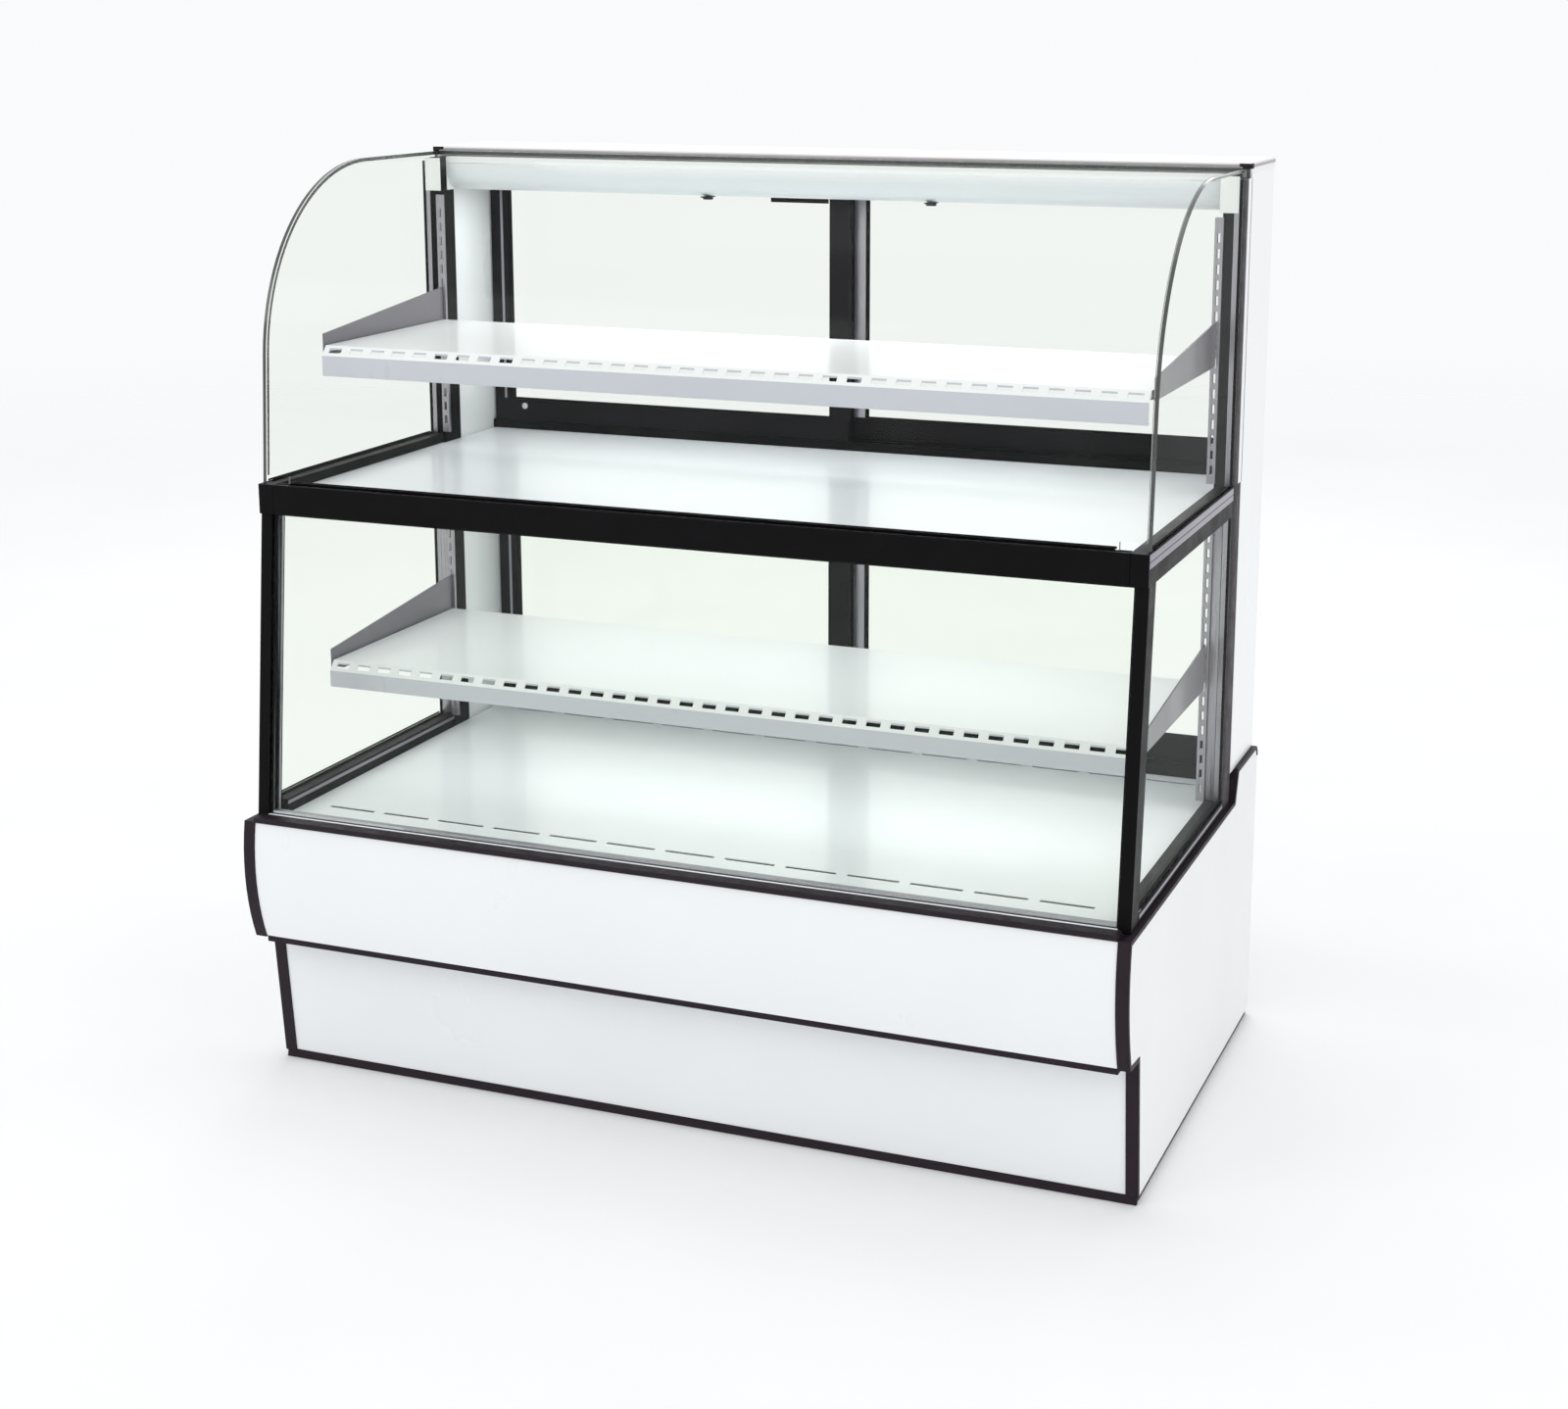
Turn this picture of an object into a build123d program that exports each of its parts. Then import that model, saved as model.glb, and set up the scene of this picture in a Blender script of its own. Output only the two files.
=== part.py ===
from build123d import *
import math
import os

# Glass display showcase: a free-standing bakery case with a curved glass top over a refrigerated lower case.
# Millimetres. X runs along the counter, the customer stands at -Y, +Z is up.
# The origin is at floor level, under the middle of the case.
# A pair of values is (low, high) along one axis, unless its comment says otherwise.

# Overall size and stock thicknesses
WIDTH = 1502
DEPTH = 890
HEIGHT = 1524
REAR = DEPTH / 2
SHEET = 2
GLASS = 6

# Base: laminated end panels with a trim band, and the bulged front. KICK_HIGH and BULGE_CENTRE are (Y, Z).
PANEL_THICK = 18
PANEL_OUT = WIDTH / 2 - 1
PANEL_IN = PANEL_OUT - PANEL_THICK
TRIM_OUT = WIDTH / 2
TRIM_IN = PANEL_IN - 1
TRIM_BAND = 7
BASE_LOW = 12
KICK_LOW_Y = -349
KICK_HIGH = (-371, 240)
BULGE_RADIUS = 380
BULGE_CENTRE = (-65, 380)
FASCIA_LOW = 245
BASE_TOP = 452
FACE_GAP = 2
FLANGE = 25
NOSING_Y = (-441, -414)
NOSING_RISE = 7
NOSING_ROUND = 4
UNDER_STRIP_Y = (-416, -372)
UNDER_STRIP_DROP = 9
STEP_Y = 262
STEP_RUN = 20
RAISED_TOP = 505
REAR_CORNER_RADIUS = 20

# Base frame of square tube, machine floor and levelling feet
RAIL = 40
RAIL_LOW = 22
RAIL_WALL = 2.5
RAIL_Y = (-325, 416)
FLOOR_LOW = RAIL_LOW + RAIL
FLOOR_TOP = FLOOR_LOW + SHEET
FLOOR_HALF = 730
FLOOR_Y = (-338, 418)
FOOT_X = 692
FOOT_YS = (-305, 396)
FOOT_STEM = 6
FOOT_STEM_Z = (7, 51)
FOOT_PAD = (22, 8)  # radius, height
FOOT_NUT = (10, 14, 7)  # corner radius, height above the floor, thickness

# Insulated tub and the deck over it
TUB_LOW = 262
TUB_FLOOR = 302
TUB_TOP = 438
TUB_HALF = 728
TUB_WALL = 40
TUB_REAR_WALL = 38
TUB_FRONT = -412
TUB_REAR = 416
DECK_TOP = 450
DECK_HALF = 710
DECK_Y = (-395, 372)
AIR_SLOT = (85, 8)  # length, width
AIR_SLOT_PITCH = 103.5
AIR_SLOT_YS = (-314, 340)
AIR_SLOTS_EACH_SIDE = 6

# Machinery: (low, high) boxes of the fin packs, fan axes as (X, Z, Y of the blade's front)
CONDENSER = ((120, 420), (330, 390), (70, 240))
EVAPORATOR = ((-350, 350), (60, 260), (316, 420))
CONDENSER_FAN = (270, 152, 290)
CONDENSER_SHROUD = ((120, 420), (66, 240), 28)  # X, Z, set-back from the blade's front
EVAPORATOR_FAN = (0, 370, 10)
EVAPORATOR_SHROUD = ((-90, 90), (304, 436), 24)
FAN_BLADES = 5
SHAFT_BORE = 4.2
COMPRESSOR_AT = (-420, 180)
CAN_RADIUS = 75
CAN_Z = (80, 210)
GROMMET_AT = (75, 55)
PAN_X, PAN_Y, PAN_DEEP = (-130, 60), (90, 250), 30
LIQUID_AT, SUCTION_AT, DRAIN_AT = (60, 345), (-200, 330), (-40, 170)
LIQUID_RADIUS, SUCTION_RADIUS, DISCHARGE_RADIUS, DRAIN_RADIUS = 4, 6, 5, 8
DRAIN_Z = (88, 302)

# Rear of the base: cover, controls and cord entry. KNOB and BUSHING are (X, Z), ROCKER_AT is (Y, Z).
COVER_Y = 420
COVER_OUT = COVER_Y + SHEET
CONTROL_X, CONTROL_Z = (480, 700), (150, 240)
CONTROL_BOX_Y = (385, COVER_Y)
KNOB = (640, 195)
KNOB_RADIUS = 20
KNOB_SHAFT = 3
ROCKER_X = (520, 538)
ROCKER_AT = (COVER_Y + 1, 195)
ROCKER_RADIUS = 12
ROCKER_TIP = 7  # degrees to its off side
BUSHING = (-640, 90)
BUSHING_Y = (405, 426)
BUSHING_BORE, BUSHING_BODY, BUSHING_FLANGE = 5, 10.8, 16  # radii
SCREW_X = (-715, -240, 240, 715)
SCREW_Z = (40, 415)
SCREW_RADIUS = 2.5
LOUVRE_LEFTS = (150, -560)
LOUVRE = (240, 6)  # length, height
LOUVRE_LOW, LOUVRE_PITCH, LOUVRE_ROWS = 75, 16, 10

# Display frame. LEAN_START is (Y, Z) on the front face of the leaning lower frame.
FRAME_HALF = 743
FRAME_BAR = 28
FRAME_IN = FRAME_HALF - FRAME_BAR
FRONT_POST_IN = 723
POST_DEPTH = 40
LEAN_START = (-410, 456)
LEAN_PER_MM = 50 / 501
PANE_LOW = 458
PANE_SEAT = 30  # set-back of the rear of the channel under the panes
PANES = ((4, 9), (20, 25))  # set-backs of each pane's faces
SPACER_WIDE = 4
GLASS_LOW = 472
MID_LOW = 957
MID_TOP = 1006
MULLION_FRONT = -366
MULLION_DEPTH = 30
MULLION_TOP = 993
MULLION_LIP = 8
REAR_POST_Y = (190, 245)
REAR_POST_X = (711, 729)
STRIP_TOP = 1500
CASE_TOP = 1508
END_GLASS_IN = FRAME_HALF - GLASS

# Curved glass: a steep straight part, one arc and a flat top. PIVOT and the curve's points are (Y, Z).
PIVOT = (-347.3, 1000)
BARREL = 6
BARREL_END_GAP = 1.5
HINGE_PIN = 3
HINGE_PLAY = 0.08
HINGE_BORE_X = 697
CURVE_FOOT = (-350, MID_TOP)
CURVE_START = (-335, 1215)
CURVE_TOP = 1515
CURVE_REAR = 235
CURVE_HALF = 735
NOTCH_UP = 12

# Decks and shelves. A shelf is (Y of its front edge, Z of its top, lip height).
UPPER_DECK_Z = (960, 990)
UPPER_DECK_REAR = 373
UPPER_DECK_OUT = 714.5
STIFFENER_XS = (-355, 0, 355)
STIFFENER = (60, 20)  # width, depth
SHELF_HALF = 702
SHELF_REAR = 178
UPPER_SHELF = (-225, 1217, 50)
LOWER_SHELF = (-240, 680, 44)
SHELF_SLOPE = 13
SHELF_TURN = 12
SLOT_PITCH = 40
SLOT_LENGTH = 24
BRACKET_X = (705.5, 708.5)
UPPER_BRACKET = (19, 58)  # heights over the shelf at the front and the rear
LOWER_BRACKET = (18, 62)
STANDARD_Y = (184, 190)
STANDARD_X = (700, 714)
STANDARD_Z = ((GLASS_LOW, 950), (1010, 1440))
HOOK_PITCH = 25
HOOK_FIRST = 15
HOOK_SLOT = 15
HOOKS_USED = (8, 9)

# Light canopy and top
CANOPY_HALF = 705
CANOPY_Y = (212, 372)
CANOPY_LIP_Z = 1496
CANOPY_WEB_Y = (300, 302)
CANOPY_WEB_LOW = 1450
LENS_LOW = 1447
LENS_BEND = 34
LAMP_AT = (262, 1476)  # Y, Z
LAMP_RADIUS = 13
LAMP_HALF = 640
HOLDER_THICK = 12
TOP_HALF = 745
TOP_ROUND = 2

# Rear of the display: side panels, rails with door tracks, sliding doors
REAR_SIDE_X = (715, 744)
REAR_SIDE_Y = (247, 425)
SKIRT_OUT = 730
TRACK_HALF = 714
TRACK_Y = (374, 422)
INNER_DOOR_Y = 379.5
OUTER_DOOR_Y = 401.5
DOOR_THICK = 13
TRACK_PLAY = 1
DEEP_GROOVE, SHALLOW_GROOVE = 20, 10
HEADER_LOW = 1455
DOOR_X = (-711, 6)  # the left doors; the right ones are mirrored
STILE = 36
PULL_X = (11, 25)  # from the door's outer edge
PULL_PROUD = 7
PULL_ROUND = 3
# Each level of doors: height, heights of the bottom and top rails, height of the pull, depths of the panes
UPPER_DOOR = ((MID_TOP - 9, HEADER_LOW + 14), (48, 28), (1180, 1300), [(4.5, 8.5)])
LOWER_DOOR = ((GLASS_LOW - 9, MID_LOW + 14), (50, 42), (650, 770), [(1.5, 4.5), (8.5, 11.5)])


def bar(x, y, z):
    """A box from three (low, high) pairs."""
    sizes = [high - low for low, high in (x, y, z)]
    middle = [(high + low) / 2 for low, high in (x, y, z)]
    return Pos(*middle) * Box(*sizes)


def across(points, x_low, x_high):
    """A closed outline of (Y, Z) points, extruded from x_low to x_high."""
    outline = Polyline([(0, y, z) for y, z in points], close=True)
    return Pos(x_low, 0, 0) * extrude(make_face(outline.edges()), x_high - x_low, dir=(1, 0, 0))


def along(edges, x_low, x_high):
    """A closed loop of edges in the YZ plane, extruded from x_low to x_high."""
    return Pos(x_low, 0, 0) * extrude(make_face(edges), x_high - x_low, dir=(1, 0, 0))


def line(start, end):
    """A straight edge between two (Y, Z) points."""
    return Line((0, *start), (0, *end))


def chain(points):
    """Straight edges through a list of (Y, Z) points."""
    return [line(start, end) for start, end in zip(points, points[1:])]


def other_side(shape):
    """The same shape on the other side of the case."""
    return mirror(shape, about=Plane.YZ)


def save(name, *shapes):
    """Writes one node: one solid, or a group of separate ones."""
    solids = [solid for shape in shapes for solid in shape.solids()]
    export_step(solids[0] if len(solids) == 1 else Compound(solids), f"parts/{name}.step")


def rod_y(x, z, radius, y_low, y_high):
    """A round bar along Y."""
    middle = Pos(x, (y_low + y_high) / 2, z)
    return middle * Rot(90, 0, 0) * Cylinder(radius, y_high - y_low)


def rod_x(y, z, radius, x_low, x_high):
    """A round bar along X."""
    middle = Pos((x_low + x_high) / 2, y, z)
    return middle * Rot(0, 90, 0) * Cylinder(radius, x_high - x_low)


def upright(x, y, radius, z_low, z_high):
    """A round bar along Z."""
    return Pos(x, y, (z_low + z_high) / 2) * Cylinder(radius, z_high - z_low)


def bulge(z, inset=0):
    """Y of the bulged front at height z, set back by inset."""
    radius = BULGE_RADIUS - inset
    return BULGE_CENTRE[0] - math.sqrt(radius**2 - (z - BULGE_CENTRE[1]) ** 2)


def bulge_arc(z_from, z_to, inset=0):
    """The bulged front between two heights, as one arc."""
    middle = (z_from + z_to) / 2
    return ThreePointArc(*[(0, bulge(z, inset), z) for z in (z_from, middle, z_to)])


def lean(z):
    """Y of the front of the leaning lower frame at height z."""
    return LEAN_START[0] + (z - LEAN_START[1]) * LEAN_PER_MM


def leaning(x, faces, z):
    """A bar or pane that leans with the lower front: faces are set-backs from the frame's face."""
    front, back = faces
    low, high = z
    foot, head = lean(low), lean(high)
    points = [(foot + front, low), (foot + back, low), (head + back, high), (head + front, high)]
    return across(points, *x)


# ---------------------------------------------------------------- base


def end_outline(band):
    """The end panel's outline, drawn in by band."""
    kick_y, kick_z = KICK_HIGH
    top = BASE_TOP - band
    low_y = KICK_LOW_Y + band
    step_foot = STEP_Y + band
    raised = RAISED_TOP - band
    rear = REAR - band
    radius = REAR_CORNER_RADIUS - band
    fascia_low = FASCIA_LOW + band
    corner = (rear - radius, raised)
    edges = chain([(bulge(top, band), top), (step_foot, top), (step_foot + STEP_RUN, raised), corner])
    edges.append(TangentArc((0, *corner), (0, rear, raised - radius), tangent=(0, 1, 0)))
    edges += chain(
        [
            (rear, raised - radius),
            (rear, BASE_LOW + band),
            (low_y, BASE_LOW + band),
            (kick_y + band, kick_z + band),
            (bulge(fascia_low, band), fascia_low),
        ]
    )
    edges.append(bulge_arc(fascia_low, top, band))
    return edges


def end_panel_and_trim():
    """The right end panel and the black trim round its front and top edges."""
    whole = along(end_outline(0), PANEL_IN, PANEL_OUT)
    core = along(end_outline(TRIM_BAND), TRIM_IN, TRIM_OUT)
    wide = (TRIM_IN, TRIM_OUT)
    rear_edge = bar(wide, (REAR - TRIM_BAND, REAR), (BASE_LOW, RAISED_TOP - REAR_CORNER_RADIUS))
    under_edge = bar(wide, (KICK_LOW_Y + TRIM_BAND, REAR), (BASE_LOW, BASE_LOW + TRIM_BAND))
    core = core + rear_edge + under_edge
    trim = along(end_outline(0), *wide) - core
    return whole & core, trim


def front_sheet():
    """Lower front panel: a leaning sheet with a return flange at its top and bottom."""
    set_back = 3
    y_low, z_low = KICK_LOW_Y + set_back, BASE_LOW + FACE_GAP
    y_high, z_high = KICK_HIGH[0] + set_back, KICK_HIGH[1] - FACE_GAP
    points = [
        (y_low, z_low),
        (y_high, z_high),
        (y_high + FLANGE, z_high),
        (y_high + FLANGE, z_high - SHEET),
        (y_high + SHEET, z_high - SHEET),
        (y_low + SHEET, z_low + SHEET),
        (y_low + FLANGE, z_low + SHEET),
        (y_low + FLANGE, z_low),
    ]
    return across(points, -TRIM_IN, TRIM_IN)


def fascia():
    """Bulged front fascia: a rolled sheet with returns at its top and bottom."""
    low, high = FASCIA_LOW + FACE_GAP, BASE_TOP - FACE_GAP
    inner = FACE_GAP + SHEET
    back_low, back_high = KICK_HIGH[0] - 3, TUB_FRONT
    upper = [
        (bulge(high, FACE_GAP), high),
        (back_high, high),
        (back_high, high - SHEET),
        (bulge(high - SHEET, inner), high - SHEET),
    ]
    lower = [
        (bulge(low + SHEET, inner), low + SHEET),
        (back_low, low + SHEET),
        (back_low, low),
        (bulge(low, FACE_GAP), low),
    ]
    outer_face = bulge_arc(low, high, FACE_GAP)
    inner_face = bulge_arc(low + SHEET, high - SHEET, inner)
    return along([outer_face, *chain(upper), inner_face, *chain(lower)], -TRIM_IN, TRIM_IN)


def fascia_trims():
    """Black nosing on the fascia's top edge, and the dark strip under its lower edge."""
    x = (-TRIM_IN, TRIM_IN)
    top = bar(x, NOSING_Y, (BASE_TOP - FACE_GAP, BASE_TOP + NOSING_RISE))
    front_edges = top.edges().filter_by(Axis.X).group_by(Axis.Y)[0]
    under = bar(x, UNDER_STRIP_Y, (FASCIA_LOW - UNDER_STRIP_DROP, FASCIA_LOW + FACE_GAP))
    return fillet(front_edges, NOSING_ROUND), under


def base_frame():
    """Square tube rails with the machine floor on them, and a hole for each foot's stem."""
    y_low, y_high = RAIL_Y
    x_out = FOOT_X + RAIL / 2
    x_in = x_out - RAIL
    height = (RAIL_LOW, FLOOR_LOW)
    hollow = (RAIL_LOW + RAIL_WALL, FLOOR_LOW - RAIL_WALL)
    side = bar((x_in, x_out), RAIL_Y, height)
    side -= bar((x_in + RAIL_WALL, x_out - RAIL_WALL), RAIL_Y, hollow)
    for y in FOOT_YS:
        side -= Pos(FOOT_X, y, RAIL_LOW) * Cylinder(FOOT_STEM + 0.2, 3 * RAIL_WALL)
    rails = [side, other_side(side)]
    for y in (y_low, y_high - RAIL):
        cross = bar((-x_in, x_in), (y, y + RAIL), height)
        rails.append(cross - bar((-x_in, x_in), (y + RAIL_WALL, y + RAIL - RAIL_WALL), hollow))
    rails.append(bar((-FLOOR_HALF, FLOOR_HALF), FLOOR_Y, (FLOOR_LOW, FLOOR_TOP)))
    return rails


def foot(x, y):
    """Levelling foot: flared pad, stem and its lock nut."""
    pad_radius, pad_high = FOOT_PAD
    nut_radius, nut_z, nut_thick = FOOT_NUT
    pad = upright(x, y, pad_radius, 0, pad_high)
    pad = chamfer(pad.edges().group_by(Axis.Z)[-1], 3)
    stem = upright(x, y, FOOT_STEM, *FOOT_STEM_Z)
    nut = Pos(x, y, nut_z) * extrude(RegularPolygon(nut_radius, 6), nut_thick)
    return pad + stem + nut


def insulated_tub():
    """Foamed floor and four walls of the refrigerated well, with holes where the pipes pass its floor."""
    inner = TUB_HALF - TUB_WALL
    front_in, rear_in = TUB_FRONT + TUB_WALL, TUB_REAR - TUB_REAR_WALL
    wall_z = (TUB_FLOOR, TUB_TOP)
    floor = bar((-TUB_HALF, TUB_HALF), (TUB_FRONT, TUB_REAR), (TUB_LOW, TUB_FLOOR))
    passing = ((LIQUID_AT, LIQUID_RADIUS), (SUCTION_AT, SUCTION_RADIUS), (DRAIN_AT, DRAIN_RADIUS))
    for (x, y), radius in passing:
        floor -= upright(x, y, radius + 3, TUB_LOW, TUB_FLOOR)
    side = bar((inner, TUB_HALF), (front_in, rear_in), wall_z)
    front = bar((-TUB_HALF, TUB_HALF), (TUB_FRONT, front_in), wall_z)
    rear = bar((-TUB_HALF, TUB_HALF), (rear_in, TUB_REAR), wall_z)
    return floor, front, rear, side, other_side(side)


def lower_deck():
    """Deck pan over the well: air return slots near the front glass, air outlet slots at the rear."""
    front, rear = DECK_Y
    deck_z = (TUB_TOP, DECK_TOP)
    deck = bar((-DECK_HALF, DECK_HALF), DECK_Y, deck_z)
    inside = (SHEET - DECK_HALF, DECK_HALF - SHEET)
    deck -= bar(inside, (front + SHEET, rear - SHEET), (TUB_TOP, DECK_TOP - SHEET))
    long, wide = AIR_SLOT
    cuts = []
    for y in AIR_SLOT_YS:
        for i in range(-AIR_SLOTS_EACH_SIDE, AIR_SLOTS_EACH_SIDE + 1):
            x = i * AIR_SLOT_PITCH
            cuts.append(bar((x - long / 2, x + long / 2), (y - wide / 2, y + wide / 2), deck_z))
    return deck - cuts


# ---------------------------------------------------------------- refrigeration


def comb(box, pitch, fin):
    """A fin pack: flat fins across X, joined by a tube plate along their middle."""
    x, y, z = box
    count = int((x[1] - x[0]) // pitch)
    fins = [bar((x[0] + i * pitch, x[0] + i * pitch + fin), y, z) for i in range(count)]
    middle_y, middle_z = sum(y) / 2, sum(z) / 2
    last = x[0] + (count - 1) * pitch + fin
    plate = bar((x[0], last), (middle_y - 6, middle_y + 6), (middle_z - 25, middle_z + 25))
    return plate + fins


def fan_blade(at, radius, hub, depth):
    """Hub with a blind shaft bore, and blades set at 30 degrees."""
    x, z, y = at
    wheel = rod_y(x, z, hub, y, y + depth)
    chord = depth * 1.5
    for i in range(FAN_BLADES):
        blade = Pos((radius + hub) / 2 - 1, 0, 0) * Rot(30, 0, 0) * Box(radius - hub + 2, chord, SHEET)
        wheel += Pos(x, y + depth / 2, z) * Rot(0, i * 360 / FAN_BLADES, 0) * blade
    wheel &= rod_y(x, z, radius, y, y + depth)
    return wheel - rod_y(x, z, SHAFT_BORE, y - 1, y + depth / 2)


def fan_mount(at, bore, motor, shroud):
    """Shroud plate with a round opening, and a motor on three arms in front of it."""
    x, z, y = at
    plate_x, plate_z, depth = shroud
    plate_y = (y + depth, y + depth + 3)
    arm_y, arm_half = (-34, -28), 4
    plate = bar(plate_x, plate_y, plate_z) - rod_y(x, z, bore, *plate_y)
    body = rod_y(x, z, motor, y - 50, y - 1) + rod_y(x, z, SHAFT_BORE - 0.2, y - 1, y + depth / 3)
    for i in range(3):
        arm = bar((motor - 2, bore + 6), arm_y, (-arm_half, arm_half))
        leg = bar((bore + 1, bore + 6), (arm_y[0], depth), (-arm_half, arm_half))
        body += Pos(x, y, z) * Rot(0, 90 + i * 120, 0) * (arm + leg)
    return plate + body


def compressor():
    """Hermetic compressor: rounded can, terminal box, and a foot plate on rubber grommets."""
    x, y = COMPRESSOR_AT
    grommet_x, grommet_y = GROMMET_AT
    plate_z = (FLOOR_TOP + 12, FLOOR_TOP + 18)
    can = upright(x, y, CAN_RADIUS, *CAN_Z)
    can = fillet(can.edges().filter_by(GeomType.CIRCLE), 30)
    can += bar((x - 20, x + 20), (y - CAN_RADIUS - 22, y - CAN_RADIUS + 10), (135, 175))
    can += bar((x - grommet_x - 15, x + grommet_x + 15), (y - grommet_y - 15, y + grommet_y + 15), plate_z)
    for dx in (-grommet_x, grommet_x):
        for dy in (-grommet_y, grommet_y):
            can += upright(x + dx, y + dy, 11, FLOOR_TOP, plate_z[0])
    return can


def tube(points, radius, bend):
    """A round pipe along straight runs joined by arcs."""
    path = FilletPolyline(*points, radius=bend)
    start = Plane(origin=path @ 0, z_dir=path % 0)
    return sweep(start * Circle(radius), path=path)


def pipework():
    """Discharge, liquid and suction pipes between compressor and coils, and the drain tube."""
    x, y = COMPRESSOR_AT
    coil_y = EVAPORATOR[1][1] + 2
    discharge = [(x + CAN_RADIUS + 1, y, 150), (-250, y, 150), (-250, 360, 150), (118, 360, 150)]
    liquid = [(118, 345, 90), (*LIQUID_AT, 90), (*LIQUID_AT, 360), (LIQUID_AT[0], coil_y, 360)]
    suction = [
        (SUCTION_AT[0], coil_y, 340),
        (*SUCTION_AT, 340),
        (*SUCTION_AT, 110),
        (x, SUCTION_AT[1], 110),
        (x, y + CAN_RADIUS + 1, 110),
    ]
    drain = upright(*DRAIN_AT, DRAIN_RADIUS, *DRAIN_Z) - upright(*DRAIN_AT, DRAIN_RADIUS - SHEET, *DRAIN_Z)
    return (
        tube(discharge, DISCHARGE_RADIUS, 30),
        tube(liquid, LIQUID_RADIUS, 25),
        tube(suction, SUCTION_RADIUS, 30),
        drain,
    )


def condensate_pan():
    """Open tray under the drain tube."""
    tray = bar(PAN_X, PAN_Y, (FLOOR_TOP, FLOOR_TOP + PAN_DEEP))
    inside = [(low + SHEET, high - SHEET) for low, high in (PAN_X, PAN_Y)]
    return tray - bar(*inside, (FLOOR_TOP + SHEET, FLOOR_TOP + PAN_DEEP))


# ---------------------------------------------------------------- rear of the base


def rear_cover():
    """Screwed rear cover with two banks of louvre slots and the holes for what passes through it."""
    through = (COVER_Y, COVER_OUT)
    cover = bar((-TRIM_IN, TRIM_IN), through, (BASE_LOW + 4, TUB_TOP - 2))
    long, high = LOUVRE
    cuts = []
    for left in LOUVRE_LEFTS:
        for row in range(LOUVRE_ROWS):
            z = LOUVRE_LOW + row * LOUVRE_PITCH
            cuts.append(bar((left, left + long), through, (z, z + high)))
    cuts.append(rod_y(*KNOB, KNOB_SHAFT + 0.4, *through))
    rocker_z = (ROCKER_AT[1] - ROCKER_RADIUS - 1, ROCKER_AT[1] + ROCKER_RADIUS + 1)
    cuts.append(bar((ROCKER_X[0] - 1, ROCKER_X[1] + 1), through, rocker_z))
    cuts.append(rod_y(*BUSHING, BUSHING_BODY + 0.2, *through))
    for x in SCREW_X:
        for z in SCREW_Z:
            cuts.append(rod_y(x, z, SCREW_RADIUS, *through))
    return cover - cuts


def screw(x, z):
    """Pan head screw with a cross slot, through the rear cover."""
    head_radius, head_high, slot_half, slot_wide = 5, 3, 3, 0.6
    slot_y = (COVER_OUT + head_high / 2, COVER_OUT + head_high)
    head = rod_y(x, z, head_radius, COVER_OUT, COVER_OUT + head_high)
    head = fillet(head.edges().filter_by(GeomType.CIRCLE).group_by(Axis.Y)[-1], 1.5)
    head -= bar((x - slot_half, x + slot_half), slot_y, (z - slot_wide, z + slot_wide))
    head -= bar((x - slot_wide, x + slot_wide), slot_y, (z - slot_half, z + slot_half))
    return head + rod_y(x, z, SCREW_RADIUS, COVER_Y - 2, COVER_OUT)


def control_panel():
    """Face plate outside the cover, and the control box behind it."""
    plate = bar(CONTROL_X, (COVER_OUT, COVER_OUT + SHEET), CONTROL_Z)
    box = bar(CONTROL_X, CONTROL_BOX_Y, CONTROL_Z)
    hole = rod_x(*ROCKER_AT, ROCKER_RADIUS + 0.4, ROCKER_X[0] - 0.5, ROCKER_X[1] + 0.5)
    shaft = rod_y(*KNOB, KNOB_SHAFT + 0.2, 400, COVER_OUT + SHEET)
    return plate - hole - shaft, box - hole - shaft


def thermostat_knob():
    """Round knob with a pointer rib and grip flutes, on its shaft."""
    x, z = KNOB
    face = COVER_OUT + SHEET
    high, flutes = 16, 16
    knob = rod_y(x, z, KNOB_RADIUS, face + 0.5, face + high)
    knob = fillet(knob.edges().filter_by(GeomType.CIRCLE).group_by(Axis.Y)[-1], 2)
    for i in range(1, flutes):
        angle = math.radians(90 + i * 360 / flutes)
        flute_x = x + (KNOB_RADIUS + 1) * math.cos(angle)
        flute_z = z + (KNOB_RADIUS + 1) * math.sin(angle)
        knob -= rod_y(flute_x, flute_z, 2.5, face + 4, face + high + 1)
    knob += bar((x - 1.5, x + 1.5), (face + high - 2, face + high + 2), (z + 3, z + KNOB_RADIUS - 2))
    return knob + rod_y(x, z, KNOB_SHAFT, 402, face + 0.5)


def light_switch():
    """Rocker: a drum on the pivot line with a shallow V face, tipped to its off side."""
    y, z = ROCKER_AT
    over = ROCKER_RADIUS + 2
    valley, shoulder, beyond = y + 6.5, y + 9.5, y + over
    drum = rod_x(y, z, ROCKER_RADIUS, *ROCKER_X)
    face = [(valley, z), (shoulder, z + over), (beyond, z + over), (beyond, z - over), (shoulder, z - over)]
    drum -= across(face, *ROCKER_X)
    drum -= bar(ROCKER_X, (y - over, y - 7), (z - over, z + over))
    return Pos(0, y, z) * Rot(-ROCKER_TIP, 0, 0) * Pos(0, -y, -z) * drum


def cord_bushing():
    """Flanged bushing in the rear cover, where the supply cord comes in."""
    inside, outside = BUSHING_Y
    ring = rod_y(*BUSHING, BUSHING_BODY, inside, COVER_OUT)
    ring += rod_y(*BUSHING, BUSHING_FLANGE, COVER_OUT, outside)
    return ring - rod_y(*BUSHING, BUSHING_BORE, inside, outside)


# ---------------------------------------------------------------- display frame


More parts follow.
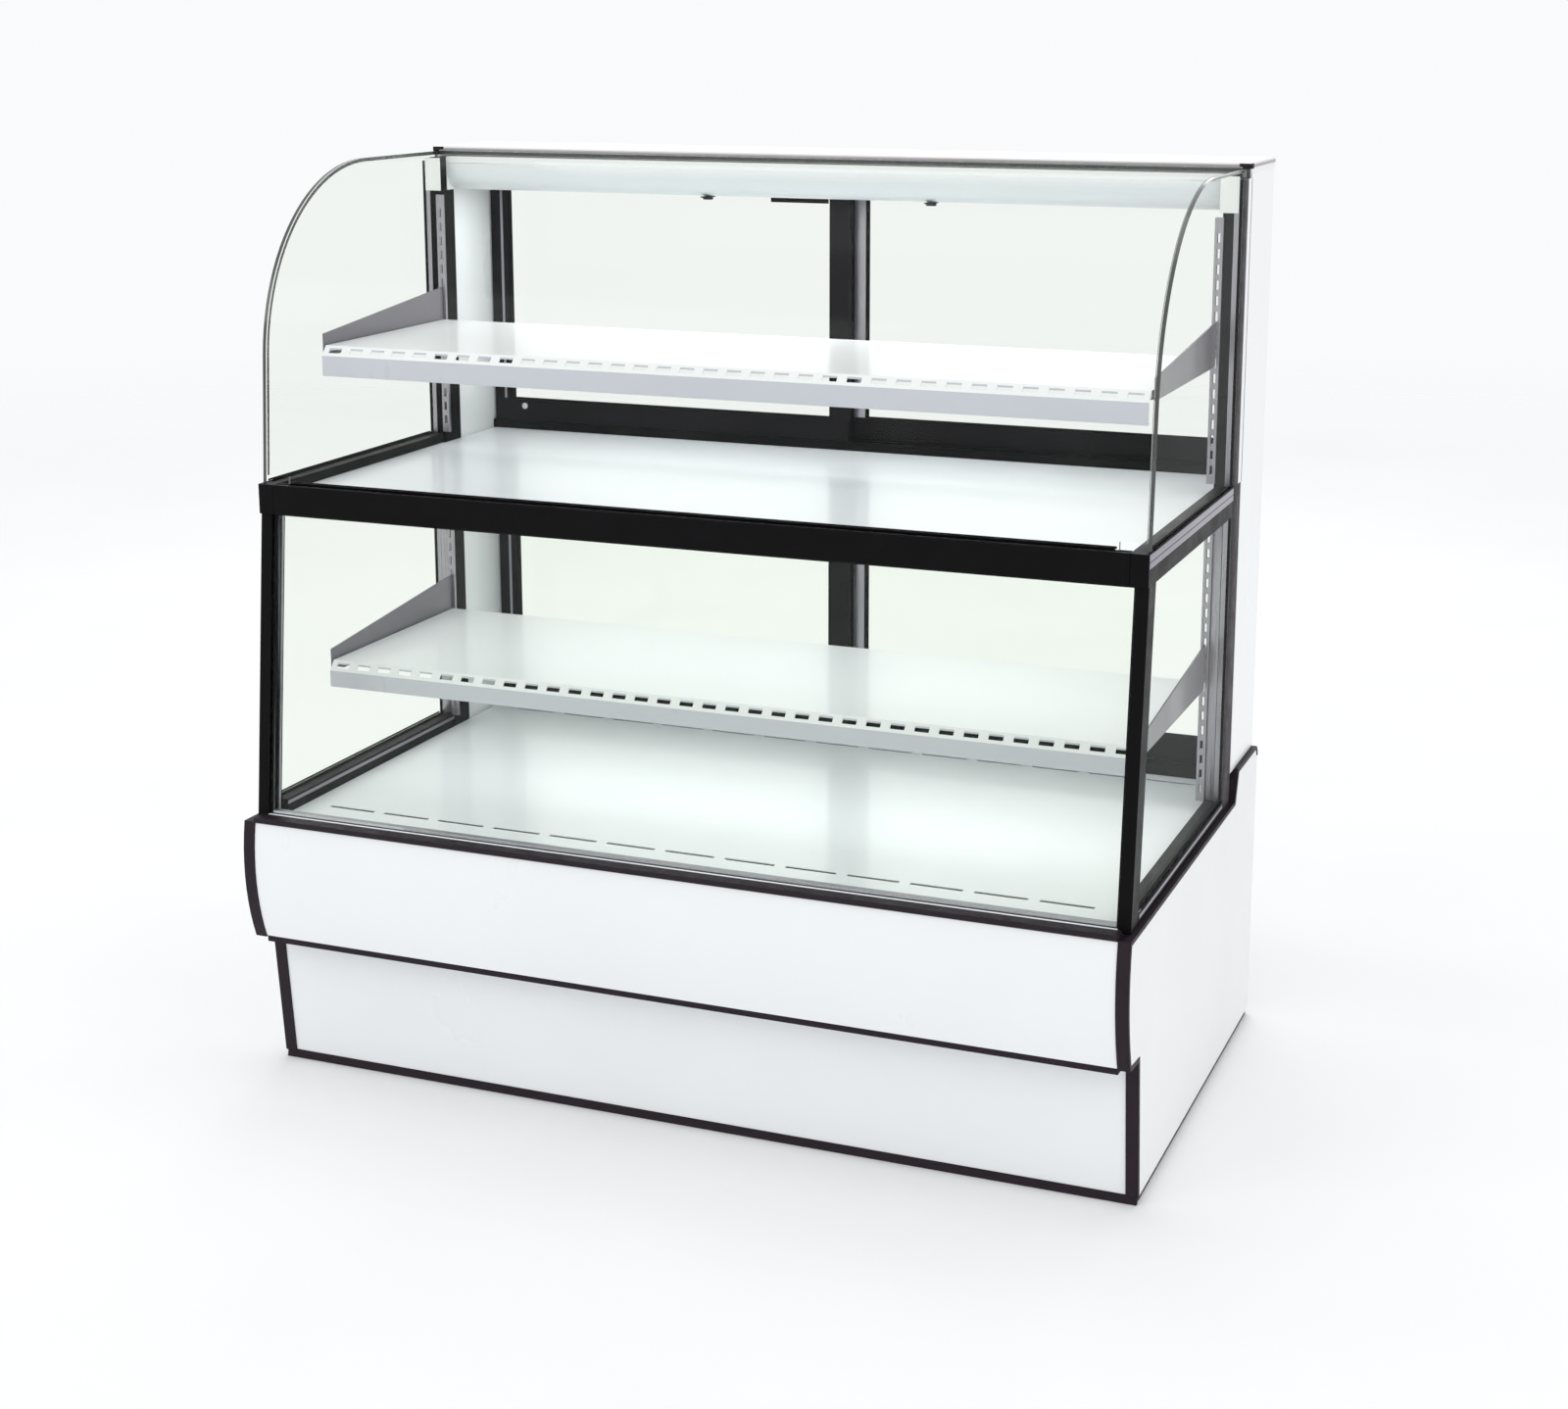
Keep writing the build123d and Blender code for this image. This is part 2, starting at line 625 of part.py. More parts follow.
def base_side_rail():
    """Channel along the right side that the lower end glass stands in."""
    inner, step = 713, SKIRT_OUT
    side = [
        (inner, TUB_TOP),
        (step, TUB_TOP),
        (step, BASE_TOP),
        (FRAME_HALF, BASE_TOP),
        (FRAME_HALF, GLASS_LOW),
        (inner, GLASS_LOW),
    ]
    y_low = math.ceil(lean(GLASS_LOW)) + POST_DEPTH
    length = REAR_POST_Y[0] - y_low
    loop = Polyline([(x, 0, z) for x, z in side], close=True)
    return Pos(0, y_low, 0) * extrude(make_face(loop.edges()), length, dir=(0, 1, 0))


def front_glass_rail():
    """Pale channel behind the nosing that the lower front panes stand in, with the lower deck's lip on it."""
    seat = lean(PANE_LOW) + PANE_SEAT
    lap = DECK_Y[0] - 1
    points = [
        (TUB_FRONT, TUB_TOP),
        (lap, TUB_TOP),
        (lap, DECK_TOP + 1),
        (seat, DECK_TOP + 1),
        (seat, PANE_LOW),
        (TUB_FRONT, PANE_LOW),
    ]
    return across(points, -FRONT_POST_IN, FRONT_POST_IN)


def front_mullion():
    """Wide bar across the front between the two zones, with a lip in front of the hinge barrel."""
    x = (-FRAME_IN, FRAME_IN)
    mullion = bar(x, (MULLION_FRONT, MULLION_FRONT + MULLION_DEPTH), (MID_LOW, MULLION_TOP))
    mullion += bar(x, (MULLION_FRONT, MULLION_FRONT + MULLION_LIP), (MULLION_TOP, MID_TOP))
    return fillet(mullion.edges().filter_by(Axis.X).group_by(Axis.Y)[0], 2)


def mid_side_rail():
    """Side bar between the lower and the upper end glass."""
    rail = bar((FRAME_IN, FRAME_HALF), (MULLION_FRONT, REAR_POST_Y[0]), (MID_LOW, MID_TOP))
    return fillet(rail.edges().filter_by(Axis.Z).group_by(Axis.Y)[0], 2)


def hinge_pin():
    """Fixed pin on the side rail that the glass hinge barrel turns on."""
    return rod_x(*PIVOT, HINGE_PIN, HINGE_BORE_X + 2, FRAME_IN)


def hinge_barrel():
    """Tube clamped along the curved glass's lower edge, turning on a pin at each end."""
    y, z = PIVOT
    half = FRAME_IN - BARREL_END_GAP
    barrel = rod_x(y, z, BARREL, -half, half)
    for x in ((-half, -HINGE_BORE_X), (HINGE_BORE_X, half)):
        barrel -= rod_x(y, z, HINGE_PIN + HINGE_PLAY, *x)
    slot = GLASS / 2 + 0.4
    return barrel - bar((1 - HINGE_BORE_X, HINGE_BORE_X - 1), (y - slot, y + slot), (z + 1, z + BARREL))


def curve_points(inset):
    """Curved glass profile, drawn in by inset: tilt of the straight part, then the arc's three points."""
    tilt = math.atan2(CURVE_START[0] - CURVE_FOOT[0], CURVE_START[1] - CURVE_FOOT[1])
    radius = (CURVE_TOP - CURVE_START[1]) / (1 - math.sin(tilt))
    centre_y = CURVE_START[0] + radius * math.cos(tilt)
    centre_z = CURVE_START[1] - radius * math.sin(tilt)

    def on_arc(angle):
        reach = radius - inset
        return centre_y - reach * math.cos(angle), centre_z + reach * math.sin(angle)

    return tilt, on_arc(tilt), on_arc((tilt + math.pi / 2) / 2), on_arc(math.pi / 2)


def curve_foot(z, inset):
    """The straight part of the profile at height z."""
    tilt, start, _, _ = curve_points(inset)
    return start[0] - (start[1] - z) * math.tan(tilt), z


def curve_arc(inset):
    """The profile's arc as one edge."""
    return ThreePointArc(*[(0, *point) for point in curve_points(inset)[1:]])


def curved_glass():
    """The tilting front glass, notched at both lower corners for the hinge pins."""
    foot_z = PIVOT[1] + 1.5
    inner_z = CURVE_TOP - GLASS
    _, start, _, top = curve_points(0)
    _, start_in, _, top_in = curve_points(GLASS)
    rear_end = chain([top, (CURVE_REAR, CURVE_TOP), (CURVE_REAR, inner_z), top_in])
    foot_end = chain([start_in, curve_foot(foot_z, GLASS), curve_foot(foot_z, 0), start])
    glass = along([curve_arc(0), *rear_end, curve_arc(GLASS), *foot_end], -CURVE_HALF, CURVE_HALF)
    notch = bar((HINGE_BORE_X - 2, CURVE_HALF + 1), (-370, -330), (foot_z - 1, MID_TOP + NOTCH_UP))
    return glass - notch - other_side(notch)


def upper_end_glass():
    """End pane of the upper zone, with the curved glass's outline at its front and top."""
    _, start, _, top = curve_points(0)
    rear = REAR_POST_Y[0]
    back = [top, (CURVE_REAR, CURVE_TOP), (CURVE_REAR, STRIP_TOP), (rear, STRIP_TOP), (rear, MID_TOP)]
    edges = [curve_arc(0), *chain([*back, curve_foot(MID_TOP, 0), start])]
    return along(edges, END_GLASS_IN, FRAME_HALF)


def lower_end_glass():
    """End pane of the lower zone, leaning at its front."""
    rear = REAR_POST_Y[0]
    foot, head = lean(GLASS_LOW) + POST_DEPTH, lean(MID_LOW) + POST_DEPTH
    points = [(foot, GLASS_LOW), (rear, GLASS_LOW), (rear, MID_LOW), (head, MID_LOW)]
    return across(points, END_GLASS_IN, FRAME_HALF)


def pane_spacer():
    """Four slim bars that hold the lower front panes apart at their edges."""
    x, low, high, wide = FRONT_POST_IN, PANE_LOW, MID_LOW, SPACER_WIDE
    gap = (PANES[0][1], PANES[1][0])
    side = leaning((x - wide, x), gap, (low, high))
    between = (wide - x, x - wide)
    bottom = leaning(between, gap, (low, low + wide))
    top = leaning(between, gap, (high - wide, high))
    return side, other_side(side), bottom, top


def shelf_standards():
    """Slotted aluminium standards in front of the rear posts, one length in each zone."""
    slot_x = (BRACKET_X[0] - 0.75, BRACKET_X[1] + 0.75)
    pieces = []
    for low, high in STANDARD_Z:
        cuts = []
        for i in range(int((high - low - 20) // HOOK_PITCH)):
            z = low + HOOK_FIRST + i * HOOK_PITCH
            cuts.append(bar(slot_x, STANDARD_Y, (z, z + HOOK_SLOT)))
        pieces.append(bar(STANDARD_X, STANDARD_Y, (low, high)) - cuts)
    return pieces


# ---------------------------------------------------------------- decks, shelves, light and top


def upper_deck():
    """Divider between the zones: a sheet pan, open below, with three hat-section stiffeners under it."""
    low, high = UPPER_DECK_Z
    front = MULLION_FRONT + MULLION_DEPTH + 1
    depth = (front, UPPER_DECK_REAR)
    ear_rear = STANDARD_Y[0] - 1
    deck = bar((-DECK_HALF, DECK_HALF), depth, UPPER_DECK_Z)
    ear = bar((DECK_HALF, UPPER_DECK_OUT), (front, ear_rear), UPPER_DECK_Z)
    deck = deck + ear + other_side(ear)
    inside = (SHEET - DECK_HALF, DECK_HALF - SHEET)
    deck -= bar(inside, (front + SHEET, UPPER_DECK_REAR - SHEET), (low, high - SHEET))
    wide, deep = STIFFENER
    for x in STIFFENER_XS:
        hat_y = (front + 12, UPPER_DECK_REAR - 12)
        hat = bar((x - wide / 2, x + wide / 2), hat_y, (high - deep, high - SHEET))
        hollow = bar((x - wide / 2 + SHEET, x + wide / 2 - SHEET), hat_y, (high - deep + SHEET, high - SHEET))
        deck += hat - hollow
    return deck


def shelf(front, top, lip):
    """Sheet shelf: sloped front edge with a row of slots, deep lip, turned-down sides and rear."""
    thick, turn = SHEET, SHELF_TURN
    slope_foot = top - SHELF_SLOPE - 3
    points = [
        (SHELF_REAR, top),
        (front + SHELF_SLOPE, top),
        (front, slope_foot),
        (front, top - lip),
        (front + turn, top - lip),
        (front + turn, top - lip + thick),
        (front + thick, top - lip + thick),
        (front + thick, slope_foot - 1),
        (front + SHELF_SLOPE + 1, top - thick),
        (SHELF_REAR - thick, top - thick),
        (SHELF_REAR - thick, top - turn),
        (SHELF_REAR, top - turn),
    ]
    sheet = across(points, -SHELF_HALF, SHELF_HALF)
    side_y = (front + SHELF_SLOPE + 2, SHELF_REAR)
    side = bar((SHELF_HALF - thick, SHELF_HALF), side_y, (top - turn, top - thick / 2))
    sheet = sheet + side + other_side(side)
    cuts = []
    count = int(SHELF_HALF // SLOT_PITCH)
    for i in range(-count, count + 1):
        slot_x = (i * SLOT_PITCH - SLOT_LENGTH / 2, i * SLOT_PITCH + SLOT_LENGTH / 2)
        cuts.append(bar(slot_x, (front + 4, front + 10), (top - 20, top)))
    return sheet - cuts


def bracket(size, heights, standard_low):
    """Tapered cantilever bracket outside the shelf's edge, with a ledge under it and two hooks behind."""
    front, top, _ = size
    front_height, rear_height = heights
    low = top - 15
    rear = STANDARD_Y[0] - 0.5
    nose = front + 14
    points = [(nose, low), (nose, top + front_height), (rear, top + rear_height), (rear, low)]
    plate = across(points, *BRACKET_X)
    ledge = bar((SHELF_HALF - 14, BRACKET_X[1]), (nose + 10, SHELF_REAR), (low, low + 2.5))
    hooks = []
    for i in HOOKS_USED:
        z = standard_low + HOOK_FIRST + i * HOOK_PITCH
        hooks.append(bar(BRACKET_X, (rear - 1, STANDARD_Y[1] - 0.5), (z + 1.5, z + HOOK_SLOT - 1.5)))
    return plate + ledge + hooks


def light_housing():
    """Sheet canopy between the rear posts that carries the lamp."""
    front, rear = CANOPY_Y
    web_front, web_rear = CANOPY_WEB_Y
    top = CASE_TOP - 1
    under = top - SHEET
    points = [
        (front, CANOPY_LIP_Z),
        (front, top),
        (rear, top),
        (rear, under),
        (web_rear, under),
        (web_rear, CANOPY_WEB_LOW),
        (web_front, CANOPY_WEB_LOW),
        (web_front, under),
        (front + SHEET, under),
        (front + SHEET, CANOPY_LIP_Z),
    ]
    return across(points, -CANOPY_HALF, CANOPY_HALF)


def light_lens():
    """Rounded diffuser under the canopy's front."""
    front, rear = CANOPY_Y[0], CANOPY_WEB_Y[0] - 0.5
    low, top = LENS_LOW, CANOPY_LIP_Z - 0.5
    inner_front, inner_low = front + SHEET, low + SHEET
    bend_y, bend_z = front + LENS_BEND, low + LENS_BEND
    inner = TangentArc((0, inner_front, bend_z), (0, bend_y, inner_low), tangent=(0, 0, -1))
    outer = TangentArc((0, bend_y, low), (0, front, bend_z), tangent=(0, -1, 0))
    upper = chain([(front, bend_z), (front, top), (inner_front, top), (inner_front, bend_z)])
    under = chain([(bend_y, inner_low), (rear, inner_low), (rear, low), (bend_y, low)])
    return along([*upper, inner, *under, outer], -CANOPY_HALF, CANOPY_HALF)


def lamp_tube():
    """Straight lamp, and a holder at each end that hangs from the canopy."""
    y, z = LAMP_AT
    lamp = rod_x(y, z, LAMP_RADIUS, -LAMP_HALF, LAMP_HALF)
    holder_y = (y - LAMP_RADIUS - 1, y + LAMP_RADIUS + 1)
    holder = bar((LAMP_HALF, LAMP_HALF + HOLDER_THICK), holder_y, (z - 18, CASE_TOP - 1 - SHEET))
    return lamp, holder, other_side(holder)


def top_panel():
    """Laminated board over the canopy and the rear header."""
    panel = bar((-TOP_HALF, TOP_HALF), (CURVE_REAR + 1.5, REAR_SIDE_Y[1]), (CASE_TOP, HEIGHT))
    return fillet(panel.edges().filter_by(Axis.X).group_by(Axis.Z)[-1], TOP_ROUND)


# ---------------------------------------------------------------- rear of the display


def rear_side_panel():
    """Sheet box side behind the rear post, with a rib inside and a narrower skirt down to the tub."""
    y_low, y_high = REAR_SIDE_Y
    x_low, x_high = REAR_SIDE_X
    middle = (y_low + y_high) / 2
    inner_y = (y_low + SHEET, y_high - SHEET)
    rib_y = (middle - SHEET / 2, middle + SHEET / 2)
    pieces = []
    for x_out, z in ((x_high, (RAISED_TOP + 1, CASE_TOP)), (SKIRT_OUT, (TUB_TOP, RAISED_TOP + 1))):
        box = bar((x_low, x_out), REAR_SIDE_Y, z) - bar((x_low + SHEET, x_out - SHEET), inner_y, z)
        pieces.append(box + bar((x_low, x_out), rib_y, z))
    return pieces[0] + pieces[1]


def track_rail(z_low, z_high, above, below):
    """Hollow rail across the rear, with two door grooves of the given depths in its top and underside."""
    x = (-TRACK_HALF, TRACK_HALF)
    rail = bar(x, TRACK_Y, (z_low, z_high))
    for y in (INNER_DOOR_Y, OUTER_DOOR_Y):
        groove = (y - TRACK_PLAY, y + DOOR_THICK + TRACK_PLAY)
        if above:
            rail -= bar(x, groove, (z_high - above, z_high))
        if below:
            rail -= bar(x, groove, (z_low, z_low + below))
    chamber_y = (TRACK_Y[0] + SHEET, TRACK_Y[1] - SHEET)
    return rail - bar(x, chamber_y, (z_low + below + SHEET, z_high - above - SHEET))


def door(left, z, rail_heights, pull_z, panes):
    """One sliding door: a frame of two stiles and two rails with its pull, and its glass."""
    y_low = INNER_DOOR_Y if left else OUTER_DOOR_Y
    y = (y_low, y_low + DOOR_THICK)
    x_low, x_high = DOOR_X
    z_low, z_high = z
    low_rail, high_rail = rail_heights
    inner = (x_low + STILE, x_high - STILE)
    frame = [
        bar((x_low, x_low + STILE), y, z),
        bar((x_high - STILE, x_high), y, z),
        bar(inner, y, (z_low, z_low + low_rail)),
        bar(inner, y, (z_high - high_rail, z_high)),
    ]
    grip = bar((x_low + PULL_X[0], x_low + PULL_X[1]), (y[1], y[1] + PULL_PROUD), pull_z)
    frame.append(fillet(grip.edges().filter_by(Axis.Z).group_by(Axis.Y)[-1], PULL_ROUND))
    glass_z = (z_low + low_rail, z_high - high_rail)
    glass = [bar(inner, (y_low + near, y_low + far), glass_z) for near, far in panes]
    if left:
        return frame, glass
    return [other_side(piece) for piece in frame], [other_side(piece) for piece in glass]


# ---------------------------------------------------------------- write the nodes


def save_pair(name, *pieces):
    """Writes one node that holds each piece on both sides of the case."""
    save(name, *pieces, *[other_side(piece) for piece in pieces])


def save_base():
    panel, trim = end_panel_and_trim()
    save("right_end_panel", panel)
    save("left_end_panel", other_side(panel))
    save("base_edge_trims", trim, other_side(trim), *fascia_trims())
    save("lower_front_panel", front_sheet())
    save("front_fascia", fascia())
    save("base_frame", *base_frame())
    for x_name, x_sign in (("left", -1), ("right", 1)):
        for y_name, foot_y in zip(("front", "rear"), FOOT_YS):
            save(f"foot_{y_name}_{x_name}", foot(x_sign * FOOT_X, foot_y))
    save("insulated_tub", *insulated_tub())
    save("lower_deck", lower_deck())


def save_machinery():
    save("compressor", compressor())
    save("condenser_coil", comb(CONDENSER, pitch=8, fin=2))
    save("evaporator_coil", comb(EVAPORATOR, pitch=12, fin=2))
    condenser_motor = fan_mount(CONDENSER_FAN, 80, 26, CONDENSER_SHROUD)
    save("fan_motors", condenser_motor, fan_mount(EVAPORATOR_FAN, 56, 18, EVAPORATOR_SHROUD))
    save("condenser_fan_blade", fan_blade(CONDENSER_FAN, radius=74, hub=18, depth=26))
    save("evaporator_fan_blade", fan_blade(EVAPORATOR_FAN, radius=51, hub=14, depth=22))
    save("pipework", *pipework())
    save("condensate_pan", condensate_pan())


def save_rear_of_base():
    save("rear_machine_cover", rear_cover())
    save("cover_screws", *[screw(x, z) for x in SCREW_X for z in SCREW_Z])
    save("control_panel", *control_panel())
    save("thermostat_knob", thermostat_knob())
    save("light_switch", light_switch())
    save("cord_bushing", cord_bushing())


def save_frame_and_glass():
    save_pair("base_side_rails", base_side_rail())
    save_pair("front_posts", leaning((FRONT_POST_IN, FRAME_HALF), (0, POST_DEPTH), (BASE_TOP, MID_LOW)))
    save("front_mullion", front_mullion())
    save_pair("mid_side_rails", mid_side_rail())
    save_pair("hinge_pins", hinge_pin())
    save("hinge_barrel", hinge_barrel())
    save("curved_front_glass", curved_glass())
    save_pair("upper_end_glass", upper_end_glass())
    save_pair("lower_end_glass", lower_end_glass())
    pane_x = (-FRONT_POST_IN, FRONT_POST_IN)
    save("lower_front_panes", *[leaning(pane_x, faces, (PANE_LOW, MID_LOW)) for faces in PANES])
    save("front_glass_rail", front_glass_rail())
    save("pane_spacer", *pane_spacer())
    save_pair("rear_posts", bar(REAR_POST_X, REAR_POST_Y, (TUB_TOP, CASE_TOP - 2)))
    strip = bar((REAR_POST_X[1], FRAME_HALF - 1), REAR_POST_Y, (BASE_TOP, STRIP_TOP))
    save_pair("post_strips", strip, *shelf_standards())


def save_inside_and_top():
    save("upper_deck", upper_deck())
    save("upper_shelf", shelf(*UPPER_SHELF))
    save("lower_shelf", shelf(*LOWER_SHELF))
    lower_standard, upper_standard = STANDARD_Z
    upper = bracket(UPPER_SHELF, UPPER_BRACKET, upper_standard[0])
    lower = bracket(LOWER_SHELF, LOWER_BRACKET, lower_standard[0])
    save_pair("shelf_brackets", upper, lower)
    save("light_housing", light_housing())
    save("light_lens", light_lens())
    save("lamp_tube", *lamp_tube())
    save("top_panel", top_panel())


def save_rear():
    save_pair("rear_side_panels", rear_side_panel())
    save("rear_header", track_rail(HEADER_LOW, CASE_TOP - 2, 0, DEEP_GROOVE))
    save("rear_mid_rail", track_rail(MID_LOW, MID_TOP, SHALLOW_GROOVE, DEEP_GROOVE))
    save("rear_sill", track_rail(TUB_TOP, GLASS_LOW, SHALLOW_GROOVE, 0))
    for level, sizes in (("upper", UPPER_DOOR), ("lower", LOWER_DOOR)):
        for side in ("left", "right"):
            frame, glass = door(side == "left", *sizes)
            save(f"{level}_{side}_door_frame", *frame)
            save(f"{level}_{side}_door_glass", *glass)


os.makedirs("parts", exist_ok=True)
save_base()
save_machinery()
save_rear_of_base()
save_frame_and_glass()
save_inside_and_top()
save_rear()
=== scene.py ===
"""Looks of the glass display showcase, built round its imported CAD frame.

Metres, +Z up, the customer at -Y.
"""

import math

import bmesh
import bpy
from mathutils import Matrix, Vector


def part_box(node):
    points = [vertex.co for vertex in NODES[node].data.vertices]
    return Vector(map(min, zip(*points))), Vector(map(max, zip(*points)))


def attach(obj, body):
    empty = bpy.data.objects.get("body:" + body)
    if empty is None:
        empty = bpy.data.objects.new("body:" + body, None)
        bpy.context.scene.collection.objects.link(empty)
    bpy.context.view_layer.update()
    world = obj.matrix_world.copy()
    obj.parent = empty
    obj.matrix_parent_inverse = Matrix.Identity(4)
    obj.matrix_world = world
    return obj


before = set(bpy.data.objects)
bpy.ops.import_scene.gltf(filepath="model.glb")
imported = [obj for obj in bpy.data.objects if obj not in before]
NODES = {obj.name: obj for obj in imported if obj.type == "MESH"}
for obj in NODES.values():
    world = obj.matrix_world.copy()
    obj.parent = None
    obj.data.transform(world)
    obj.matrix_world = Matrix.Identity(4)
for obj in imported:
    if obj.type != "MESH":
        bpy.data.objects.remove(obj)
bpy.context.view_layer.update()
MM = 0.001
SIDES = (-1, 1)

# ---------------------------------------------------------------- camera, lights and floor

CAMERA_AT = (1.5545, -3.7154, 1.7461)
CAMERA_YAW = 0.3778
CAMERA_PITCH = 0.2106
CAMERA_LENS = 56.66
CAMERA_SHIFT = (-0.0161, -0.1)
WORLD_COLOUR = (0.985, 0.99, 1.0, 1)
WORLD_STRENGTH = 0.97
LAMP_COLOUR = (0.97, 0.99, 1.0)
# Light inside the case: name, the node it hangs under, the drop below it in metres, watts
CASE_LIGHTS = [
    ("canopy_glow", "light_lens", 0.006, 1.6),
    ("upper_shelf_glow", "upper_shelf", 0.03, 0.5),
    ("upper_deck_glow", "upper_deck", 0.03, 1.3),
    ("lower_shelf_glow", "lower_shelf", 0.03, 0.8),
]
PANE_FACES = 24  # faces of glass that light may pass, above the 16 or so that a line of sight can meet
FLOOR_RADIUS = 14.0
FLOOR_SOLID = 3.5


def make_camera():
    data = bpy.data.cameras.new("camera")
    data.lens = CAMERA_LENS
    data.shift_x, data.shift_y = CAMERA_SHIFT
    camera = bpy.data.objects.new("camera", data)
    camera.location = CAMERA_AT
    camera.rotation_euler = (math.pi / 2 - CAMERA_PITCH, 0, CAMERA_YAW)
    bpy.context.scene.collection.objects.link(camera)
    bpy.context.scene.camera = camera


def area_light(name, at, target, size, watts, colour=(1, 1, 1), mirrored_in_glass=True):
    data = bpy.data.lights.new(name, "AREA")
    data.shape = "RECTANGLE"
    data.size, data.size_y = size
    data.energy = watts
    data.color = colour
    lamp = bpy.data.objects.new(name, data)
    lamp.location = at
    lamp.visible_glossy = mirrored_in_glass
    lamp.rotation_euler = (Vector(target) - Vector(at)).to_track_quat("-Z", "Y").to_euler()
    bpy.context.scene.collection.objects.link(lamp)


def make_lights():
    world = bpy.data.worlds.new("studio")
    world.use_nodes = True
    sky = world.node_tree.nodes["Background"]
    sky.inputs["Color"].default_value = WORLD_COLOUR
    sky.inputs["Strength"].default_value = WORLD_STRENGTH
    bpy.context.scene.world = world
    bpy.context.scene.view_settings.view_transform = "Standard"
    bpy.context.scene.cycles.transparent_max_bounces = PANE_FACES
    middle = (0, 0, 0.8)
    area_light("key_light", (-2.8, -4.4, 3.6), middle, (2.6, 2.0), 26, (1.0, 0.99, 0.97))
    area_light("fill_light", (4.2, -2.2, 2.4), middle, (2.0, 2.0), 9)
    area_light("top_light", (0, 0.2, 4.6), middle, (3.0, 2.0), 14)
    area_light("rear_light", (-1.5, 4.6, 3.0), middle, (2.6, 2.0), 20)
    for name, over, drop, watts in CASE_LIGHTS:
        low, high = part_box(over)
        at = ((low.x + high.x) / 2, (low.y + high.y) / 2, low.z - drop)
        size = ((high.x - low.x) * 0.9, (high.y - low.y) * 0.8)
        area_light(name, at, (at[0], at[1] - 0.05, 0), size, watts, LAMP_COLOUR, False)


# ---------------------------------------------------------------- shader helpers


def node(tree, kind, inputs=None, **settings):
    """A shader node with its settings, and its inputs given as values or as sockets to link."""
    made = tree.nodes.new(kind)
    for key, value in settings.items():
        setattr(made, key, value)
    for key, value in (inputs or {}).items():
        if isinstance(value, bpy.types.NodeSocket):
            tree.links.new(value, made.inputs[key])
        else:
            made.inputs[key].default_value = value
    return made


def place(tree, stretch=(1, 1, 1)):
    """The object's own coordinates, in metres, stretched along each axis."""
    where = node(tree, "ShaderNodeTexCoord").outputs["Object"]
    return node(tree, "ShaderNodeMapping", {"Vector": where, "Scale": stretch}).outputs["Vector"]


def noise(tree, scale, stretch=(1, 1, 1), detail=4.0, roughness=0.55):
    inputs = {"Vector": place(tree, stretch), "Scale": scale, "Detail": detail, "Roughness": roughness}
    return node(tree, "ShaderNodeTexNoise", inputs).outputs["Fac"]


def span(tree, value, low, high, start=0.0, end=1.0):
    """value, mapped from start..end to low..high."""
    inputs = {"Value": value, "From Min": start, "From Max": end, "To Min": low, "To Max": high}
    return node(tree, "ShaderNodeMapRange", inputs).outputs["Result"]


def blend_colour(tree, share, first, second):
    """A mix of two colours, each a value or a socket."""
    mix = node(tree, "ShaderNodeMix", data_type="RGBA")
    for index, value in ((0, share), (6, first), (7, second)):
        if isinstance(value, bpy.types.NodeSocket):
            tree.links.new(value, mix.inputs[index])
        else:
            mix.inputs[index].default_value = value
    return mix.outputs[2]


def bump(tree, height, distance):
    inputs = {"Height": height, "Distance": distance, "Strength": 1.0}
    return node(tree, "ShaderNodeBump", inputs).outputs["Normal"]


def surface(name, **values):
    """A new material with one Principled shader, and its constant inputs."""
    material = bpy.data.materials.new(name)
    material.use_nodes = True
    tree = material.node_tree
    shader = tree.nodes["Principled BSDF"]
    for key, value in values.items():
        shader.inputs[key.replace("_", " ")].default_value = value
    return material, tree, shader


def feed(tree, shader, **sockets):
    for key, socket in sockets.items():
        tree.links.new(socket, shader.inputs[key.replace("_", " ")])


def rgb(colour, by=1.0):
    return tuple(min(1.0, part * by) for part in colour) + (1.0,)


# ---------------------------------------------------------------- materials


def enamel(name, colour, rough=(0.27, 0.32), dust=0.012):
    """Baked enamel on sheet steel: faint mottling, orange peel, wiped patches and a little settled dust."""
    material, tree, shader = surface(name, Coat_Weight=0.35, Coat_Roughness=0.12, Specular_IOR_Level=0.45)
    mottle = span(tree, noise(tree, 2.2, detail=3), 0, 1, 0.35, 0.65)
    base = blend_colour(tree, mottle, rgb(colour, 0.985), rgb(colour, 1.01))
    normal = node(tree, "ShaderNodeNewGeometry").outputs["Normal"]
    up = node(tree, "ShaderNodeSeparateXYZ", {"Vector": normal})
    settled = node(tree, "ShaderNodeMath", {0: up.outputs["Z"], 1: noise(tree, 26)}, operation="MULTIPLY")
    film = span(tree, settled.outputs["Value"], 0, dust, 0.35, 0.75)
    base = blend_colour(tree, film, base, (0.52, 0.51, 0.5, 1))
    wiped = noise(tree, 9, (1, 1, 0.35), detail=3)
    fine = noise(tree, 480, detail=2)
    feed(tree, shader, Base_Color=base, Roughness=span(tree, wiped, *rough, 0.3, 0.7))
    feed(tree, shader, Normal=bump(tree, fine, 0.00003))
    return material


def laminate(name, colour):
    """Laminated board: semi-matt white with a fine suede texture and faint scuffs."""
    material, tree, shader = surface(name, Specular_IOR_Level=0.4)
    tone = span(tree, noise(tree, 1.6, detail=3), 0, 1, 0.35, 0.65)
    base = blend_colour(tree, tone, rgb(colour, 0.97), rgb(colour, 1.01))
    scuff = span(tree, noise(tree, 30, (1, 1, 0.12), detail=8, roughness=0.7), 0, 0.06, 0.6, 0.78)
    base = blend_colour(tree, scuff, base, (0.5, 0.49, 0.5, 1))
    grain = noise(tree, 900, detail=3)
    feed(tree, shader, Base_Color=base, Roughness=span(tree, noise(tree, 14), 0.36, 0.5, 0.3, 0.7))
    feed(tree, shader, Normal=bump(tree, grain, 0.000035))
    return material


